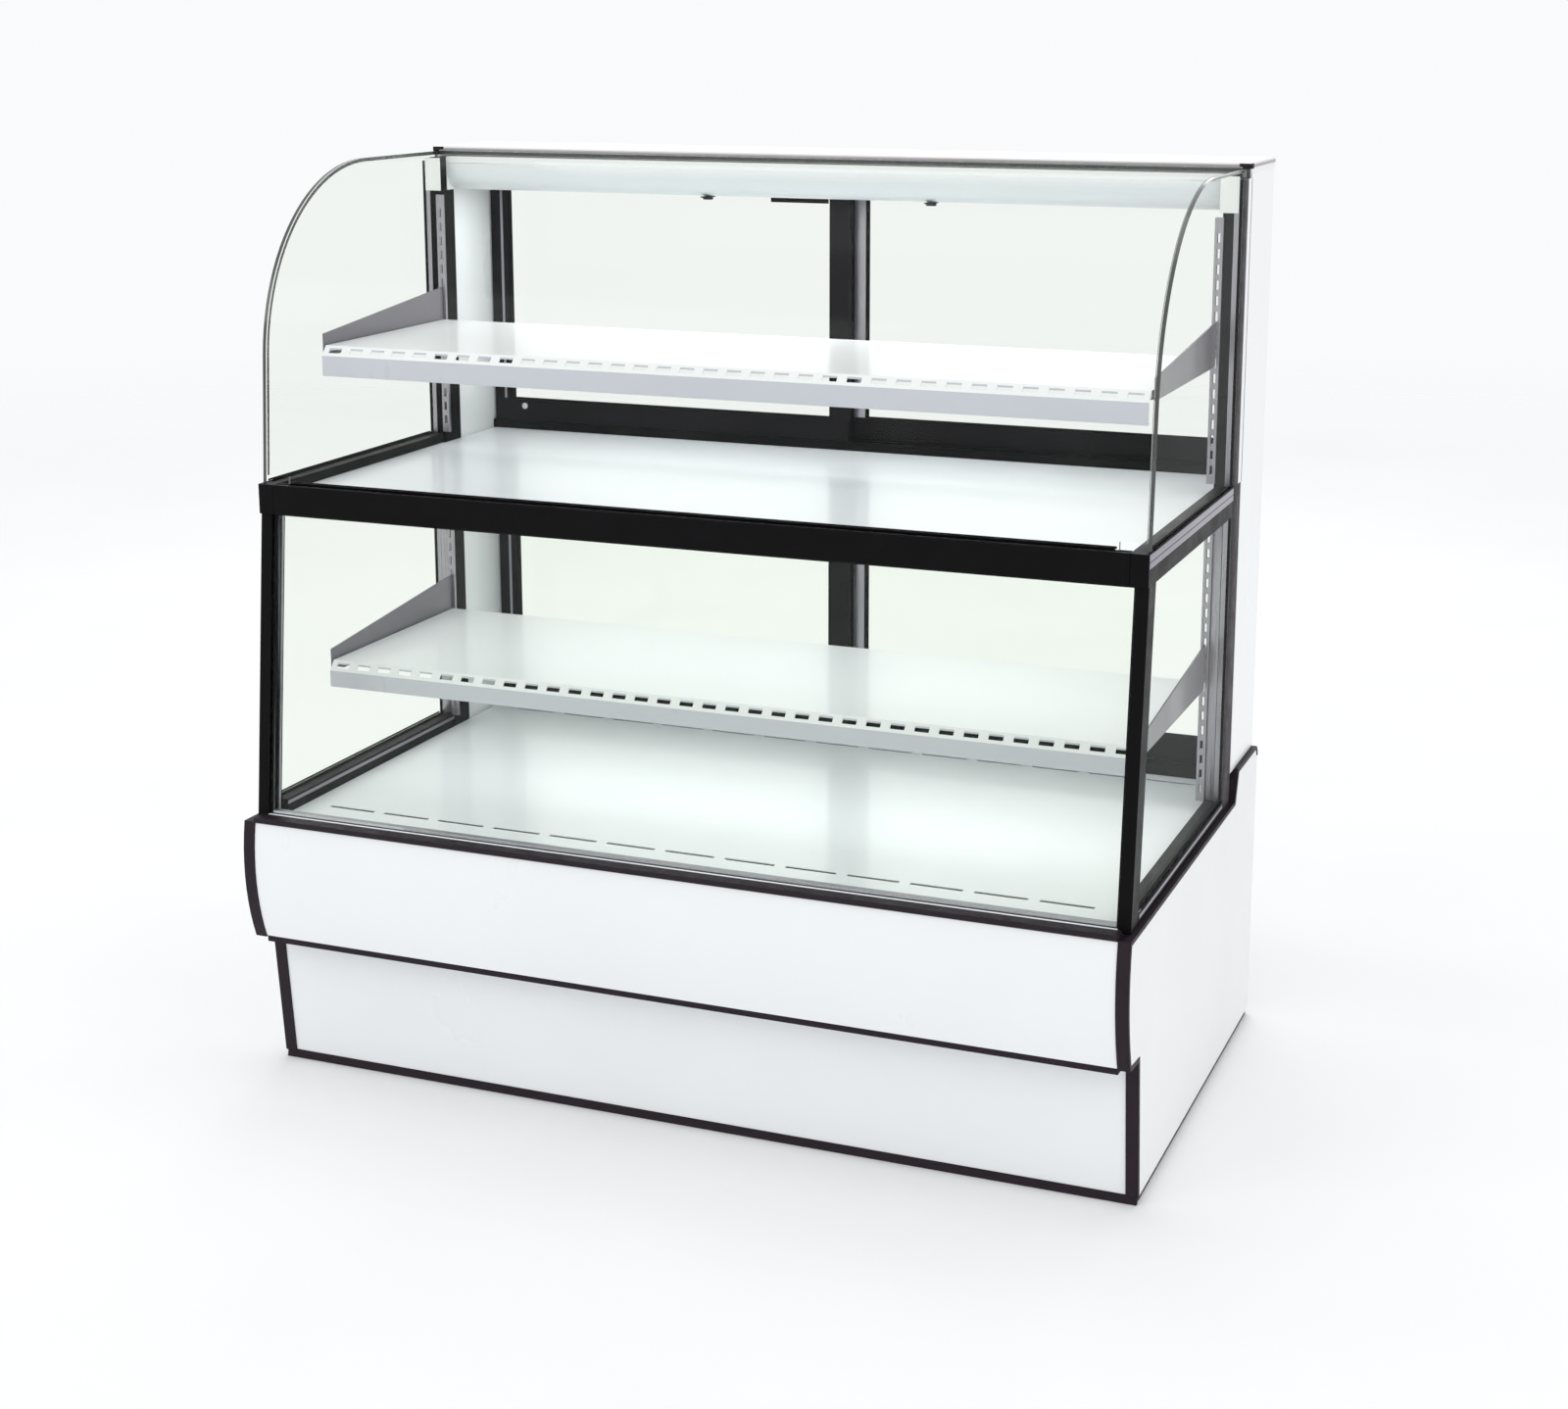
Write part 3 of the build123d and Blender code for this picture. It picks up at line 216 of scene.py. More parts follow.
def powder_coat(name, colour, gloss=(0.34, 0.5)):
    """Powder coat: fine grain, rubbed patches and a trace of dust."""
    material, tree, shader = surface(name, Specular_IOR_Level=0.08)
    rubbed = noise(tree, 18, detail=7, roughness=0.65)
    base = blend_colour(tree, span(tree, rubbed, 0, 0.5, 0.45, 0.8), rgb(colour), rgb(colour, 2.0))
    grain = noise(tree, 1300, detail=2)
    feed(tree, shader, Base_Color=base, Roughness=span(tree, rubbed, gloss[1], gloss[0], 0.3, 0.7))
    feed(tree, shader, Normal=bump(tree, grain, 0.00005))
    return material


def moulded(name, colour, rough=(0.42, 0.6), grain_scale=700):
    """Extruded or moulded plastic with a fine spark texture."""
    material, tree, shader = surface(name, Specular_IOR_Level=0.2)
    tone = noise(tree, 40, detail=5)
    base = blend_colour(tree, span(tree, tone, 0, 1, 0.3, 0.7), rgb(colour, 0.8), rgb(colour, 1.25))
    grain = node(tree, "ShaderNodeTexVoronoi", {"Vector": place(tree), "Scale": grain_scale})
    feed(tree, shader, Base_Color=base, Roughness=span(tree, tone, *rough, 0.3, 0.7))
    feed(tree, shader, Normal=bump(tree, grain.outputs["Distance"], 0.00004))
    return material


def rubber(name, colour):
    """Soft glazing rubber: matt, slightly bloomed."""
    material, tree, shader = surface(name, Specular_IOR_Level=0.12)
    bloom = noise(tree, 60, detail=6, roughness=0.7)
    base = blend_colour(tree, span(tree, bloom, 0, 0.6, 0.5, 0.85), rgb(colour), rgb(colour, 2.4))
    feed(tree, shader, Base_Color=base, Roughness=span(tree, bloom, 0.6, 0.8, 0.3, 0.7))
    feed(tree, shader, Normal=bump(tree, noise(tree, 500), 0.00005))
    return material


def brushed(name, colour, stretch, rough=(0.24, 0.42), anisotropy=0.5):
    """Anodised or brushed metal, with its grain along the axis that stretch squeezes."""
    material, tree, shader = surface(name, Metallic=0.9, Anisotropic=anisotropy)
    lines = noise(tree, 420, stretch, detail=5, roughness=0.6)
    cloud = noise(tree, 7, detail=3)
    base = blend_colour(tree, span(tree, lines, 0, 1, 0.3, 0.7), rgb(colour, 0.86), rgb(colour, 1.08))
    base = blend_colour(tree, span(tree, cloud, 0, 0.25, 0.4, 0.7), base, rgb(colour, 0.8))
    feed(tree, shader, Base_Color=base, Roughness=span(tree, lines, *rough, 0.3, 0.7))
    feed(tree, shader, Normal=bump(tree, lines, 0.00002))
    return material


def spangled(name, colour):
    """Galvanised sheet: crystal spangles that differ in tone and gloss."""
    material, tree, shader = surface(name, Metallic=0.85)
    cells = node(tree, "ShaderNodeTexVoronoi", {"Vector": place(tree), "Scale": 110.0, "Randomness": 1.0})
    tone = node(tree, "ShaderNodeSeparateColor", {"Color": cells.outputs["Color"]}).outputs["Red"]
    stain = span(tree, noise(tree, 8, detail=6), 0, 0.35, 0.5, 0.8)
    base = blend_colour(tree, tone, rgb(colour, 0.9), rgb(colour, 1.07))
    base = blend_colour(tree, stain, base, rgb((0.42, 0.42, 0.41)))
    feed(tree, shader, Base_Color=base, Roughness=span(tree, tone, 0.4, 0.52))
    feed(tree, shader, Normal=bump(tree, tone, 0.00003))
    return material


def dull_metal(name, colour, tarnish=(0.25, 0.14, 0.08)):
    """Drawn or plated metal with tarnish in patches."""
    material, tree, shader = surface(name, Metallic=0.95)
    patch = noise(tree, 45, detail=7, roughness=0.7)
    base = blend_colour(tree, span(tree, patch, 0, 0.7, 0.48, 0.8), rgb(colour), rgb(tarnish))
    feed(tree, shader, Base_Color=base, Roughness=span(tree, patch, 0.28, 0.5, 0.3, 0.75))
    feed(tree, shader, Normal=bump(tree, noise(tree, 600), 0.00003))
    return material


GLASS_GLOSS = (0.005, 0.07)  # mirrored share of the light, face on and edge on


def clear_glass(name, tint, smear):
    """Tempered pane: tinted, mirror-like at a slant on both of its faces, with faint wiping marks."""
    material, tree, shader = surface(name)
    tree.nodes.remove(shader)
    marks = noise(tree, 6, (1, 1, 0.5), detail=8, roughness=0.7)
    through = node(tree, "ShaderNodeBsdfTransparent", {"Color": tint})
    mirror = node(tree, "ShaderNodeBsdfGlossy", {"Color": (0.95, 0.98, 0.97, 1)})
    tree.links.new(span(tree, marks, 0.015, 0.05, 0.4, 0.75), mirror.inputs["Roughness"])
    film = node(tree, "ShaderNodeBsdfDiffuse", {"Color": (0.8, 0.82, 0.82, 1)})
    facing = node(tree, "ShaderNodeLayerWeight").outputs["Facing"]
    fifth = node(tree, "ShaderNodeMath", {0: facing, 1: 5.0}, operation="POWER").outputs["Value"]
    gloss = span(tree, fifth, *GLASS_GLOSS)
    inputs = {0: gloss, 1: through.outputs["BSDF"], 2: mirror.outputs["BSDF"]}
    pane = node(tree, "ShaderNodeMixShader", inputs)
    dirty = span(tree, marks, 0.0, smear, 0.45, 0.8)
    inputs = {0: dirty, 1: pane.outputs["Shader"], 2: film.outputs["BSDF"]}
    whole = node(tree, "ShaderNodeMixShader", inputs)
    tree.links.new(whole.outputs["Shader"], tree.nodes["Material Output"].inputs["Surface"])
    return material


def glass_edge(name, colour):
    """Ground and polished edge of a pane: dark grey-green, with fine grinding lines."""
    material, tree, shader = surface(name, Coat_Weight=0.6, Coat_Roughness=0.08, Specular_IOR_Level=0.6)
    grind = noise(tree, 900, (1, 0.2, 0.2), detail=3)
    depth = noise(tree, 12, detail=3)
    base = blend_colour(tree, span(tree, depth, 0, 1, 0.35, 0.65), rgb(colour, 0.7), rgb(colour, 1.3))
    feed(tree, shader, Base_Color=base, Roughness=span(tree, grind, 0.15, 0.35, 0.3, 0.7))
    return material


def opal(name, colour, glow):
    """Opal diffuser: soft glow from the lamp behind it, and fine prism ribs along its length."""
    material, tree, shader = surface(name, Specular_IOR_Level=0.5, Coat_Weight=0.3, Coat_Roughness=0.15)
    inputs = {"Vector": place(tree), "Scale": 110.0, "Distortion": 0.0}
    ribs = node(tree, "ShaderNodeTexWave", inputs, bands_direction="Z")
    cloud = noise(tree, 3, (0.4, 1, 1))
    base = blend_colour(tree, span(tree, cloud, 0, 1, 0.35, 0.65), rgb(colour, 0.97), rgb(colour, 1.02))
    shader.inputs["Emission Strength"].default_value = glow
    feed(tree, shader, Base_Color=base, Emission_Color=base)
    feed(tree, shader, Roughness=span(tree, cloud, 0.3, 0.42, 0.3, 0.7))
    feed(tree, shader, Normal=bump(tree, ribs.outputs["Fac"], 0.00012))
    return material


def fin_metal(name):
    """Mill aluminium fins with patches of dull dust."""
    material, tree, shader = surface(name, Metallic=0.8)
    soot = noise(tree, 30, detail=6, roughness=0.7)
    sooty = span(tree, soot, 0, 0.6, 0.45, 0.8)
    base = blend_colour(tree, sooty, (0.72, 0.73, 0.74, 1), (0.3, 0.29, 0.28, 1))
    feed(tree, shader, Base_Color=base, Roughness=span(tree, soot, 0.32, 0.6, 0.3, 0.75))
    feed(tree, shader, Normal=bump(tree, noise(tree, 260, (1, 1, 6)), 0.0001))
    return material


def floor_finish():
    """Pale floor that fades into the studio's own light far from the object."""
    material, tree, shader = surface("pale_floor", Roughness=0.7, Specular_IOR_Level=0.2)
    cloud = noise(tree, 1.3, detail=5)
    tone = span(tree, cloud, 0, 1, 0.3, 0.7)
    base = blend_colour(tree, tone, (0.93, 0.935, 0.94, 1), (0.965, 0.965, 0.965, 1))
    feed(tree, shader, Base_Color=base)
    away = node(tree, "ShaderNodeVectorMath", {0: place(tree)}, operation="LENGTH").outputs["Value"]
    fade = span(tree, away, 0, 1, FLOOR_SOLID, FLOOR_RADIUS * 0.7)
    clear = node(tree, "ShaderNodeBsdfTransparent")
    inputs = {0: fade, 1: shader.outputs["BSDF"], 2: clear.outputs["BSDF"]}
    mix = node(tree, "ShaderNodeMixShader", inputs)
    tree.links.new(mix.outputs["Shader"], tree.nodes["Material Output"].inputs["Surface"])
    return material


def make_floor():
    shape = bmesh.new()
    bmesh.ops.create_circle(shape, cap_ends=True, radius=FLOOR_RADIUS, segments=96)
    mesh = bpy.data.meshes.new("floor")
    shape.to_mesh(mesh)
    shape.free()
    floor = bpy.data.objects.new("floor", mesh)
    mesh.materials.append(floor_finish())
    bpy.context.scene.collection.objects.link(floor)


ALONG_X, ALONG_Y, ALONG_Z = (0.02, 1, 1), (1, 0.02, 1), (1, 1, 0.02)
LAVENDER = (0.36, 0.345, 0.39)

LOOK = {
    "enamel": enamel("baked_white_enamel", (0.86, 0.88, 0.893)),
    "canopy": enamel("canopy_white_enamel", (0.86, 0.87, 0.87), dust=0.01),
    "laminate": laminate("white_laminate_board", (0.86, 0.872, 0.87)),
    "shelf": enamel("shelf_white_enamel", (0.89, 0.9, 0.92), rough=(0.36, 0.42), dust=0.008),
    # Painted shade: the shelves' front lips are white enamel like their tops, given a darker grey-lavender
    # here for the shade that falls on them.
    "painted_shade_lip": enamel("painted_shade_lip_enamel", (0.6, 0.62, 0.69), rough=(0.26, 0.42), dust=0.0),
    "bracket": enamel("bracket_enamel", (0.16, 0.15, 0.175), rough=(0.3, 0.45), dust=0.0),
    "deck": enamel("deck_enamel", (0.86, 0.885, 0.91), rough=(0.34, 0.42), dust=0.008),
    "frame": powder_coat("satin_black_powder_coat", (0.003, 0.0026, 0.0032)),
    "door": powder_coat("door_black_powder_coat", (0.008, 0.007, 0.0085), gloss=(0.3, 0.46)),
    "trim": moulded("black_edge_moulding", (0.016, 0.0095, 0.015)),
    "plastic": moulded("dark_moulded_plastic", (0.03, 0.03, 0.033)),
    "pad": moulded("foot_plastic", (0.02, 0.02, 0.02), grain_scale=500),
    "rubber": rubber("glazing_rubber", (0.006, 0.0055, 0.006)),
    "grey_rubber": rubber("grey_bulb_seal", (0.3, 0.3, 0.31)),
    "aluminium_x": brushed("anodised_aluminium_along_x", LAVENDER, ALONG_X),
    "aluminium_y": brushed("anodised_aluminium_along_y", LAVENDER, ALONG_Y),
    "aluminium_z": brushed("anodised_aluminium_along_z", (0.42, 0.405, 0.44), ALONG_Z),
    "edge_band": brushed("taupe_edge_band", (0.5, 0.46, 0.465), ALONG_X, rough=(0.35, 0.5), anisotropy=0.2),
    "galvanised": spangled("galvanised_sheet", (0.6, 0.62, 0.64)),
    "foam": enamel("white_liner", (0.86, 0.87, 0.86), rough=(0.35, 0.5)),
    "glass": clear_glass("clear_tempered_glass", (0.98, 0.987, 0.976, 1), smear=0.006),
    "glass_edge": glass_edge("ground_glass_edge", (0.035, 0.042, 0.038)),
    # The lens's grey-blue colour is painted shade on the canopy's curved underside; an opal diffuser is
    # white. Its faint glow is the lamp behind it.
    "lens": opal("opal_lens_with_painted_shade", (0.67, 0.71, 0.73), 0.1),
    "lamp": opal("lamp_phosphor", (0.97, 0.98, 1.0), 1.6),
    "copper": dull_metal("drawn_copper", (0.85, 0.45, 0.28)),
    "compressor": powder_coat("compressor_black_enamel", (0.015, 0.015, 0.016), gloss=(0.18, 0.34)),
    "fins": fin_metal("aluminium_fins"),
    "zinc": dull_metal("zinc_plated_steel", (0.62, 0.62, 0.64), tarnish=(0.36, 0.35, 0.33)),
    "white_mark": moulded("white_marking", (0.75, 0.75, 0.74), rough=(0.4, 0.5)),
}

# ---------------------------------------------------------------- finish of the CAD nodes

DOORS = [f"{level}_{side}_door" for level in ("upper", "lower") for side in ("left", "right")]
FEET = [f"foot_{end}_{side}" for end in ("front", "rear") for side in ("left", "right")]
SHARP_ANGLE = math.radians(35)
# Nodes by their look and the width in millimetres of their rounded edges (0 leaves them as they are)
CAD_FINISH = {
    ("enamel", 0.6): ["lower_front_panel", "front_fascia", "rear_side_panels", "rear_header"],
    ("laminate", 0.5): ["right_end_panel", "left_end_panel", "top_panel"],
    ("canopy", 0.5): ["light_housing"],
    ("shelf", 0.5): ["upper_shelf", "lower_shelf"],
    ("bracket", 0.4): ["shelf_brackets"],
    ("deck", 0.5): ["upper_deck", "lower_deck", "front_glass_rail"],
    ("frame", 1.2): ["base_side_rails", "front_posts", "rear_posts", "rear_mid_rail", "rear_sill"],
    ("frame", 0.0): ["front_mullion", "mid_side_rails", "hinge_barrel"],
    ("door", 1.0): [f"{door}_frame" for door in DOORS],
    ("trim", 0.8): ["base_edge_trims"],
    ("aluminium_z", 0.4): ["post_strips", "pane_spacer"],
    ("galvanised", 0.5): ["base_frame", "condensate_pan"],
    ("galvanised", 0.0): ["rear_machine_cover"],
    ("foam", 2.0): ["insulated_tub"],
    ("plastic", 0.8): ["control_panel"],
    ("plastic", 0.0): ["fan_motors", "condenser_fan_blade", "evaporator_fan_blade", "thermostat_knob"]
    + ["light_switch", "cord_bushing"],
    ("glass", 0.0): ["curved_front_glass", "upper_end_glass", "lower_end_glass", "lower_front_panes"]
    + [f"{door}_glass" for door in DOORS],
    ("lens", 0.0): ["light_lens"],
    ("lamp", 0.0): ["lamp_tube"],
    ("copper", 0.0): ["pipework"],
    ("compressor", 0.0): ["compressor"],
    ("fins", 0.0): ["condenser_coil", "evaporator_coil"],
    ("zinc", 0.0): ["cover_screws", "hinge_pins", *FEET],
}


def round_edges(thing, width):
    """Rounds a CAD node's sharp edges by modifiers alone, so that its own mesh stays as it is."""
    for name in ("custom_normal", "sharp_edge", "sharp_face"):
        shading = thing.data.attributes.get(name)
        if shading is not None:
            thing.data.attributes.remove(shading)
    join = thing.modifiers.new("join", "WELD")
    join.merge_threshold = 0.01 * MM
    bevel = thing.modifiers.new("rounded", "BEVEL")
    bevel.width = width * MM
    bevel.segments = 2
    bevel.limit_method = "ANGLE"
    bevel.angle_limit = SHARP_ANGLE
    bevel.harden_normals = True
    bevel.use_clamp_overlap = True


def finish_cad():
    for (look, width), names in CAD_FINISH.items():
        for name in names:
            thing = NODES[name]
            thing.data.materials.clear()
            thing.data.materials.append(LOOK[look])
            if width:
                round_edges(thing, width)


def paint_faces(name, look, chosen):
    """Gives another material to the faces of a CAD node that chosen(centre, normal) picks."""
    mesh = NODES[name].data
    mesh.materials.append(LOOK[look])
    index = len(mesh.materials) - 1
    for face in mesh.polygons:
        if chosen(face.center, face.normal):
            face.material_index = index


def paint_details():
    """Faces that differ from the rest of their node, such as glass edges, shelf lips darkened with painted
    shade, and foot pads.
    """
    curved_low, curved_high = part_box("curved_front_glass")

    def curved_glass_edge(at, out):
        rear = out.y > 0.7 and at.y > curved_high.y - MM
        return abs(out.x) > 0.7 or at.z < curved_low.z + MM or rear

    paint_faces("curved_front_glass", "glass_edge", curved_glass_edge)
    for name in ("upper_end_glass", "lower_end_glass"):
        paint_faces(name, "glass_edge", lambda at, out: abs(out.x) < 0.3)
    paint_faces("lower_front_panes", "glass_edge", lambda at, out: abs(out.x) > 0.7 or abs(out.z) > 0.9)
    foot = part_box("pane_spacer")[0].z + 5 * MM
    paint_faces("pane_spacer", "frame", lambda at, out: abs(out.y) > 0.5 and at.z > foot)
    paint_faces("pane_spacer", "deck", lambda at, out: abs(out.y) > 0.5 and at.z <= foot)
    # The shelves' front-facing lip faces get the painted-shade enamel, darker than their tops.
    for name in ("upper_shelf", "lower_shelf"):
        paint_faces(name, "painted_shade_lip", lambda at, out: out.y < -0.9)
    lamp_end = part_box("lamp_tube")[1].x - 13 * MM
    paint_faces("lamp_tube", "canopy", lambda at, out: abs(at.x) > lamp_end)
    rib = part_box("thermostat_knob")[1].y - 0.5 * MM
    paint_faces("thermostat_knob", "white_mark", lambda at, out: at.y > rib)
    for name in FEET:
        paint_faces(name, "pad", lambda at, out: at.z < 9 * MM)


# ---------------------------------------------------------------- piece-making helpers


def finish_piece(name, shape, look, body):
    """Turns a bmesh into a piece that rides on a CAD body, smooth except at its sharp edges."""
    bmesh.ops.recalc_face_normals(shape, faces=shape.faces)
    for edge in shape.edges:
        edge.smooth = len(edge.link_faces) == 2 and edge.calc_face_angle(0) < SHARP_ANGLE
    for face in shape.faces:
        face.smooth = True
    mesh = bpy.data.meshes.new(name)
    shape.to_mesh(mesh)
    shape.free()
    mesh.materials.append(LOOK[look])
    piece = bpy.data.objects.new(name, mesh)
    bpy.context.scene.collection.objects.link(piece)
    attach(piece, body)


def merge(shape, part):
    """Adds one bmesh to another and frees it."""
    mesh = bpy.data.meshes.new("part")
    part.to_mesh(mesh)
    part.free()
    shape.from_mesh(mesh)
    bpy.data.meshes.remove(mesh)


def add_bar(shape, x, y, z, rounded=0.4 * MM):
    """A bar from three (low, high) pairs, with rounded edges."""
    part = bmesh.new()
    middle = [(low + high) / 2 for low, high in (x, y, z)]
    size = [high - low for low, high in (x, y, z)]
    move = Matrix.Translation(middle) @ Matrix.Diagonal((*size, 1))
    bmesh.ops.create_cube(part, size=1, matrix=move)
    width = min(rounded, 0.45 * min(size))
    bmesh.ops.bevel(part, geom=part.edges[:], offset=width, segments=2, affect="EDGES", profile=0.5)
    merge(shape, part)


def add_profile(shape, outline, low, high):
    """An outline of (Y, Z) points, pulled along X from low to high."""
    part = bmesh.new()
    face = part.faces.new([part.verts.new((low, y, z)) for y, z in outline])
    pulled = bmesh.ops.extrude_face_region(part, geom=[face])["geom"]
    far_end = [item for item in pulled if isinstance(item, bmesh.types.BMVert)]
    bmesh.ops.translate(part, vec=(high - low, 0, 0), verts=far_end)
    merge(shape, part)


def add_turned(shape, profile, at, axis, segments=24):
    """A (radius, height) profile turned about an axis through a point."""
    part = bmesh.new()
    points = [part.verts.new((radius, 0, height)) for radius, height in profile]
    edges = [part.edges.new(pair) for pair in zip(points, points[1:])]
    bmesh.ops.spin(part, geom=points + edges, cent=(0, 0, 0), axis=(0, 0, 1), angle=math.tau, steps=segments)
    bmesh.ops.remove_doubles(part, verts=part.verts, dist=0.001 * MM)
    turn = Vector((0, 0, 1)).rotation_difference(Vector(axis)).to_matrix().to_4x4()
    bmesh.ops.transform(part, matrix=Matrix.Translation(at) @ turn, verts=part.verts)
    merge(shape, part)


def add_rivet(shape, at):
    """Blind rivet head that faces the rear: a low dome with the stub of its mandrel sunk in the middle."""
    radius = RIVET_RADIUS
    high = 0.42 * radius
    angles = [math.radians(degrees) for degrees in (0, 15, 35, 55, 68)]
    dome = [(radius * math.cos(angle), high * math.sin(angle)) for angle in angles]
    stub = [(radius * out, high * up) for out, up in ((0.33, 0.55), (0.2, 0.5), (0.16, 0.7), (0, 0.74))]
    add_turned(shape, [(radius, -0.1 * high), *dome, *stub], at, (0, 1, 0))


def add_ring(shape, x, y, z, bead):
    """A rectangular loop of bead in the XZ plane: x and z are its outer (low, high), y its middle."""
    half = bead / 2
    for low, high in ((x[0], x[0] + bead), (x[1] - bead, x[1])):
        add_bar(shape, (low, high), (y - half, y + half), z, bead * 0.4)
    for low, high in ((z[0], z[0] + bead), (z[1] - bead, z[1])):
        add_bar(shape, (x[0] + bead * 0.5, x[1] - bead * 0.5), (y - half, y + half), (low, high), bead * 0.4)


def mirrored(side, low, high):
    """(low, high) along X on the chosen side of the case."""
    return (low, high) if side > 0 else (-high, -low)


# ---------------------------------------------------------------- pieces of the base

RIVET_RADIUS = 3.2 * MM
DIAL_TICKS, DIAL_STEP = 10, 30  # number of ticks, and the degrees between them
# In metres, where no box of the frame gives the place
SIDE_RIVET_FIRST_Z, SIDE_RIVET_STEP = 0.56, 0.18
BASE_RAIL_INNER_X = 0.713
BEAD_END_Y = 0.189
LEAN = 0.050 / 0.501  # set-back of the lower front for each metre of height
POST_FACING_Z = (0.474, 0.955)
CANOPY_CAP_X = 0.7365
LENS_CLIP_X = 0.205
LAMP_Z = 1.476


def base_strips():
    """Toe strips under the front and the end panels."""
    panel_low, panel_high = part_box("right_end_panel")
    kick_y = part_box("base_frame")[0].y - 8 * MM
    top = panel_low.z + 2.2 * MM
    shape = bmesh.new()
    front = kick_y - 2 * MM
    back = front + 4 * MM
    cove = [(front - 1.5 * MM, 0.5 * MM), (front, 4 * MM), (front + MM, top), (back, top), (back, 0.5 * MM)]
    add_profile(shape, cove, -panel_high.x + 1.5 * MM, panel_high.x - 1.5 * MM)
    for side in SIDES:
        outer = panel_high.x - 3 * MM
        x = mirrored(side, outer - 3 * MM, outer)
        add_bar(shape, x, (front + 4.2 * MM, panel_high.y - 3 * MM), (0.5 * MM, panel_low.z - 0.2 * MM))
    finish_piece("toe_strips", shape, "trim", "case")


def rear_cover_details():
    """Stiffening edge folds and the dial ticks round the thermostat knob."""
    low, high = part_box("rear_machine_cover")
    shape = bmesh.new()
    fold = 1.2 * MM
    y = (high.y, high.y + fold)
    inset, wide = 4 * MM, 5 * MM
    for x in ((low.x + inset, low.x + inset + wide), (high.x - inset - wide, high.x - inset)):
        add_bar(shape, x, y, (low.z + inset, high.z - inset), 0.5 * MM)
    for z in ((low.z + inset, low.z + inset + wide), (high.z - inset - wide, high.z - inset)):
        add_bar(shape, (low.x + inset + wide, high.x - inset - wide), y, z, 0.5 * MM)
    finish_piece("rear_cover_folds", shape, "galvanised", "case")
    knob_low, knob_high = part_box("thermostat_knob")
    centre_x, centre_z = (knob_low.x + knob_high.x) / 2, (knob_low.z + knob_high.z) / 2
    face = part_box("control_panel")[1].y
    ticks = bmesh.new()
    dial = Matrix.Translation((centre_x, face + 0.15 * MM, centre_z))
    for step in range(DIAL_TICKS):
        reach, size = (25.5 * MM, 5.0 * MM) if step % 3 else (26.5 * MM, 7.0 * MM)
        turn = Matrix.Rotation(-math.radians(90 + DIAL_STEP * step), 4, "Y")
        here = dial @ turn @ Matrix.Translation((reach, 0, 0))
        part = bmesh.new()
        bmesh.ops.create_cube(part, size=1, matrix=here @ Matrix.Diagonal((size, 0.4 * MM, 1.1 * MM, 1)))
        merge(ticks, part)
    finish_piece("dial_ticks", ticks, "white_mark", "case")


def side_panel_rivets():
    """Rivets down the back of the rear side panels and along the rear header."""
    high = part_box("rear_side_panels")[1]
    header_low, header_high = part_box("rear_header")
    shape = bmesh.new()
    for side in SIDES:
        x = side * (high.x - 7 * MM)
        for i in range(6):
            z = SIDE_RIVET_FIRST_Z + i * SIDE_RIVET_STEP
            add_rivet(shape, (x, high.y, z))
    z = (header_low.z + header_high.z) / 2 + 8 * MM
    for i in range(7):
        x = header_low.x + 60 * MM + i * (header_high.x - header_low.x - 120 * MM) / 6
        add_rivet(shape, (x, header_high.y, z))
    finish_piece("rear_rivets", shape, "zinc", "case")


# ---------------------------------------------------------------- pieces of the frame


def side_rail_strips():
    """Anodised strips along the outer faces of the mid and base side rails, and inside the base rails."""
    mid_low, mid_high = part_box("mid_side_rails")
    base_low, base_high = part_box("base_side_rails")
    shape = bmesh.new()
    proud = 1.3 * MM
    for side in SIDES:
        x = mirrored(side, mid_high.x - 0.2 * MM, mid_high.x + proud)
        y = (mid_low.y + 2.5 * MM, mid_high.y)
        add_bar(shape, x, y, (mid_high.z - 22 * MM, mid_high.z - 12.5 * MM), 0.6 * MM)
        add_bar(shape, x, y, (mid_high.z - 11.5 * MM, mid_high.z - 1 * MM), 0.6 * MM)
        y = (base_low.y + 2 * MM, mid_high.y)
        add_bar(shape, x, y, (base_high.z - 10 * MM, base_high.z - 4 * MM), 0.6 * MM)
        x = mirrored(side, BASE_RAIL_INNER_X - 0.9 * MM, BASE_RAIL_INNER_X + 0.2 * MM)
        add_bar(shape, x, y, (base_high.z - 9 * MM, base_high.z - 3 * MM), 0.4 * MM)
    finish_piece("side_glazing_strips", shape, "aluminium_y", "case")


def glazing_beads():
    """Rubber beads along the foot of the end glass, and along the head of its lower panes."""
    end_low, end_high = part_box("lower_end_glass")
    upper_low, upper_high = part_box("upper_end_glass")
    bead = 2.2 * MM
    shape = bmesh.new()
    for side in SIDES:
        for low, high in ((end_low, end_high), (upper_low, upper_high)):
            y = (low.y + 16 * MM, BEAD_END_Y)
            for x_low in (high.x - 6 * MM - bead, high.x):
                x = mirrored(side, x_low, x_low + bead * 0.9)
                add_bar(shape, x, y, (low.z, low.z + 1.4 * bead), 0.8 * MM)
        x = mirrored(side, end_high.x - 6 * MM - bead, end_high.x - 6 * MM)
        y = (end_low.y + 60 * MM, BEAD_END_Y)
        add_bar(shape, x, y, (end_high.z - 1.4 * bead, end_high.z), 0.8 * MM)
    finish_piece("end_glass_beads", shape, "rubber", "case")


def leaning_bar(shape, x, set_backs, z):
    """A bar that leans with the lower front panes: set_backs are depths behind the outer pane's face."""
    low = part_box("lower_front_panes")[0]
    front, back = set_backs
    bends = [(front, z[0]), (back, z[0]), (back, z[1]), (front, z[1])]
    outline = [(low.y + (height - low.z) * LEAN + set_back, height) for set_back, height in bends]
    add_profile(shape, outline, x[0], x[1])


def pane_stops():
    """Anodised stops on the inner faces of the front posts, just behind the double pane."""
    low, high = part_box("lower_front_panes")
    shape = bmesh.new()
    for side in SIDES:
        x = mirrored(side, high.x - 4 * MM, high.x + 0.2 * MM)
        leaning_bar(shape, x, (21.4 * MM, 26.4 * MM), (low.z + 0.5 * MM, high.z - 0.5 * MM))
    finish_piece("pane_stops", shape, "aluminium_z", "case")


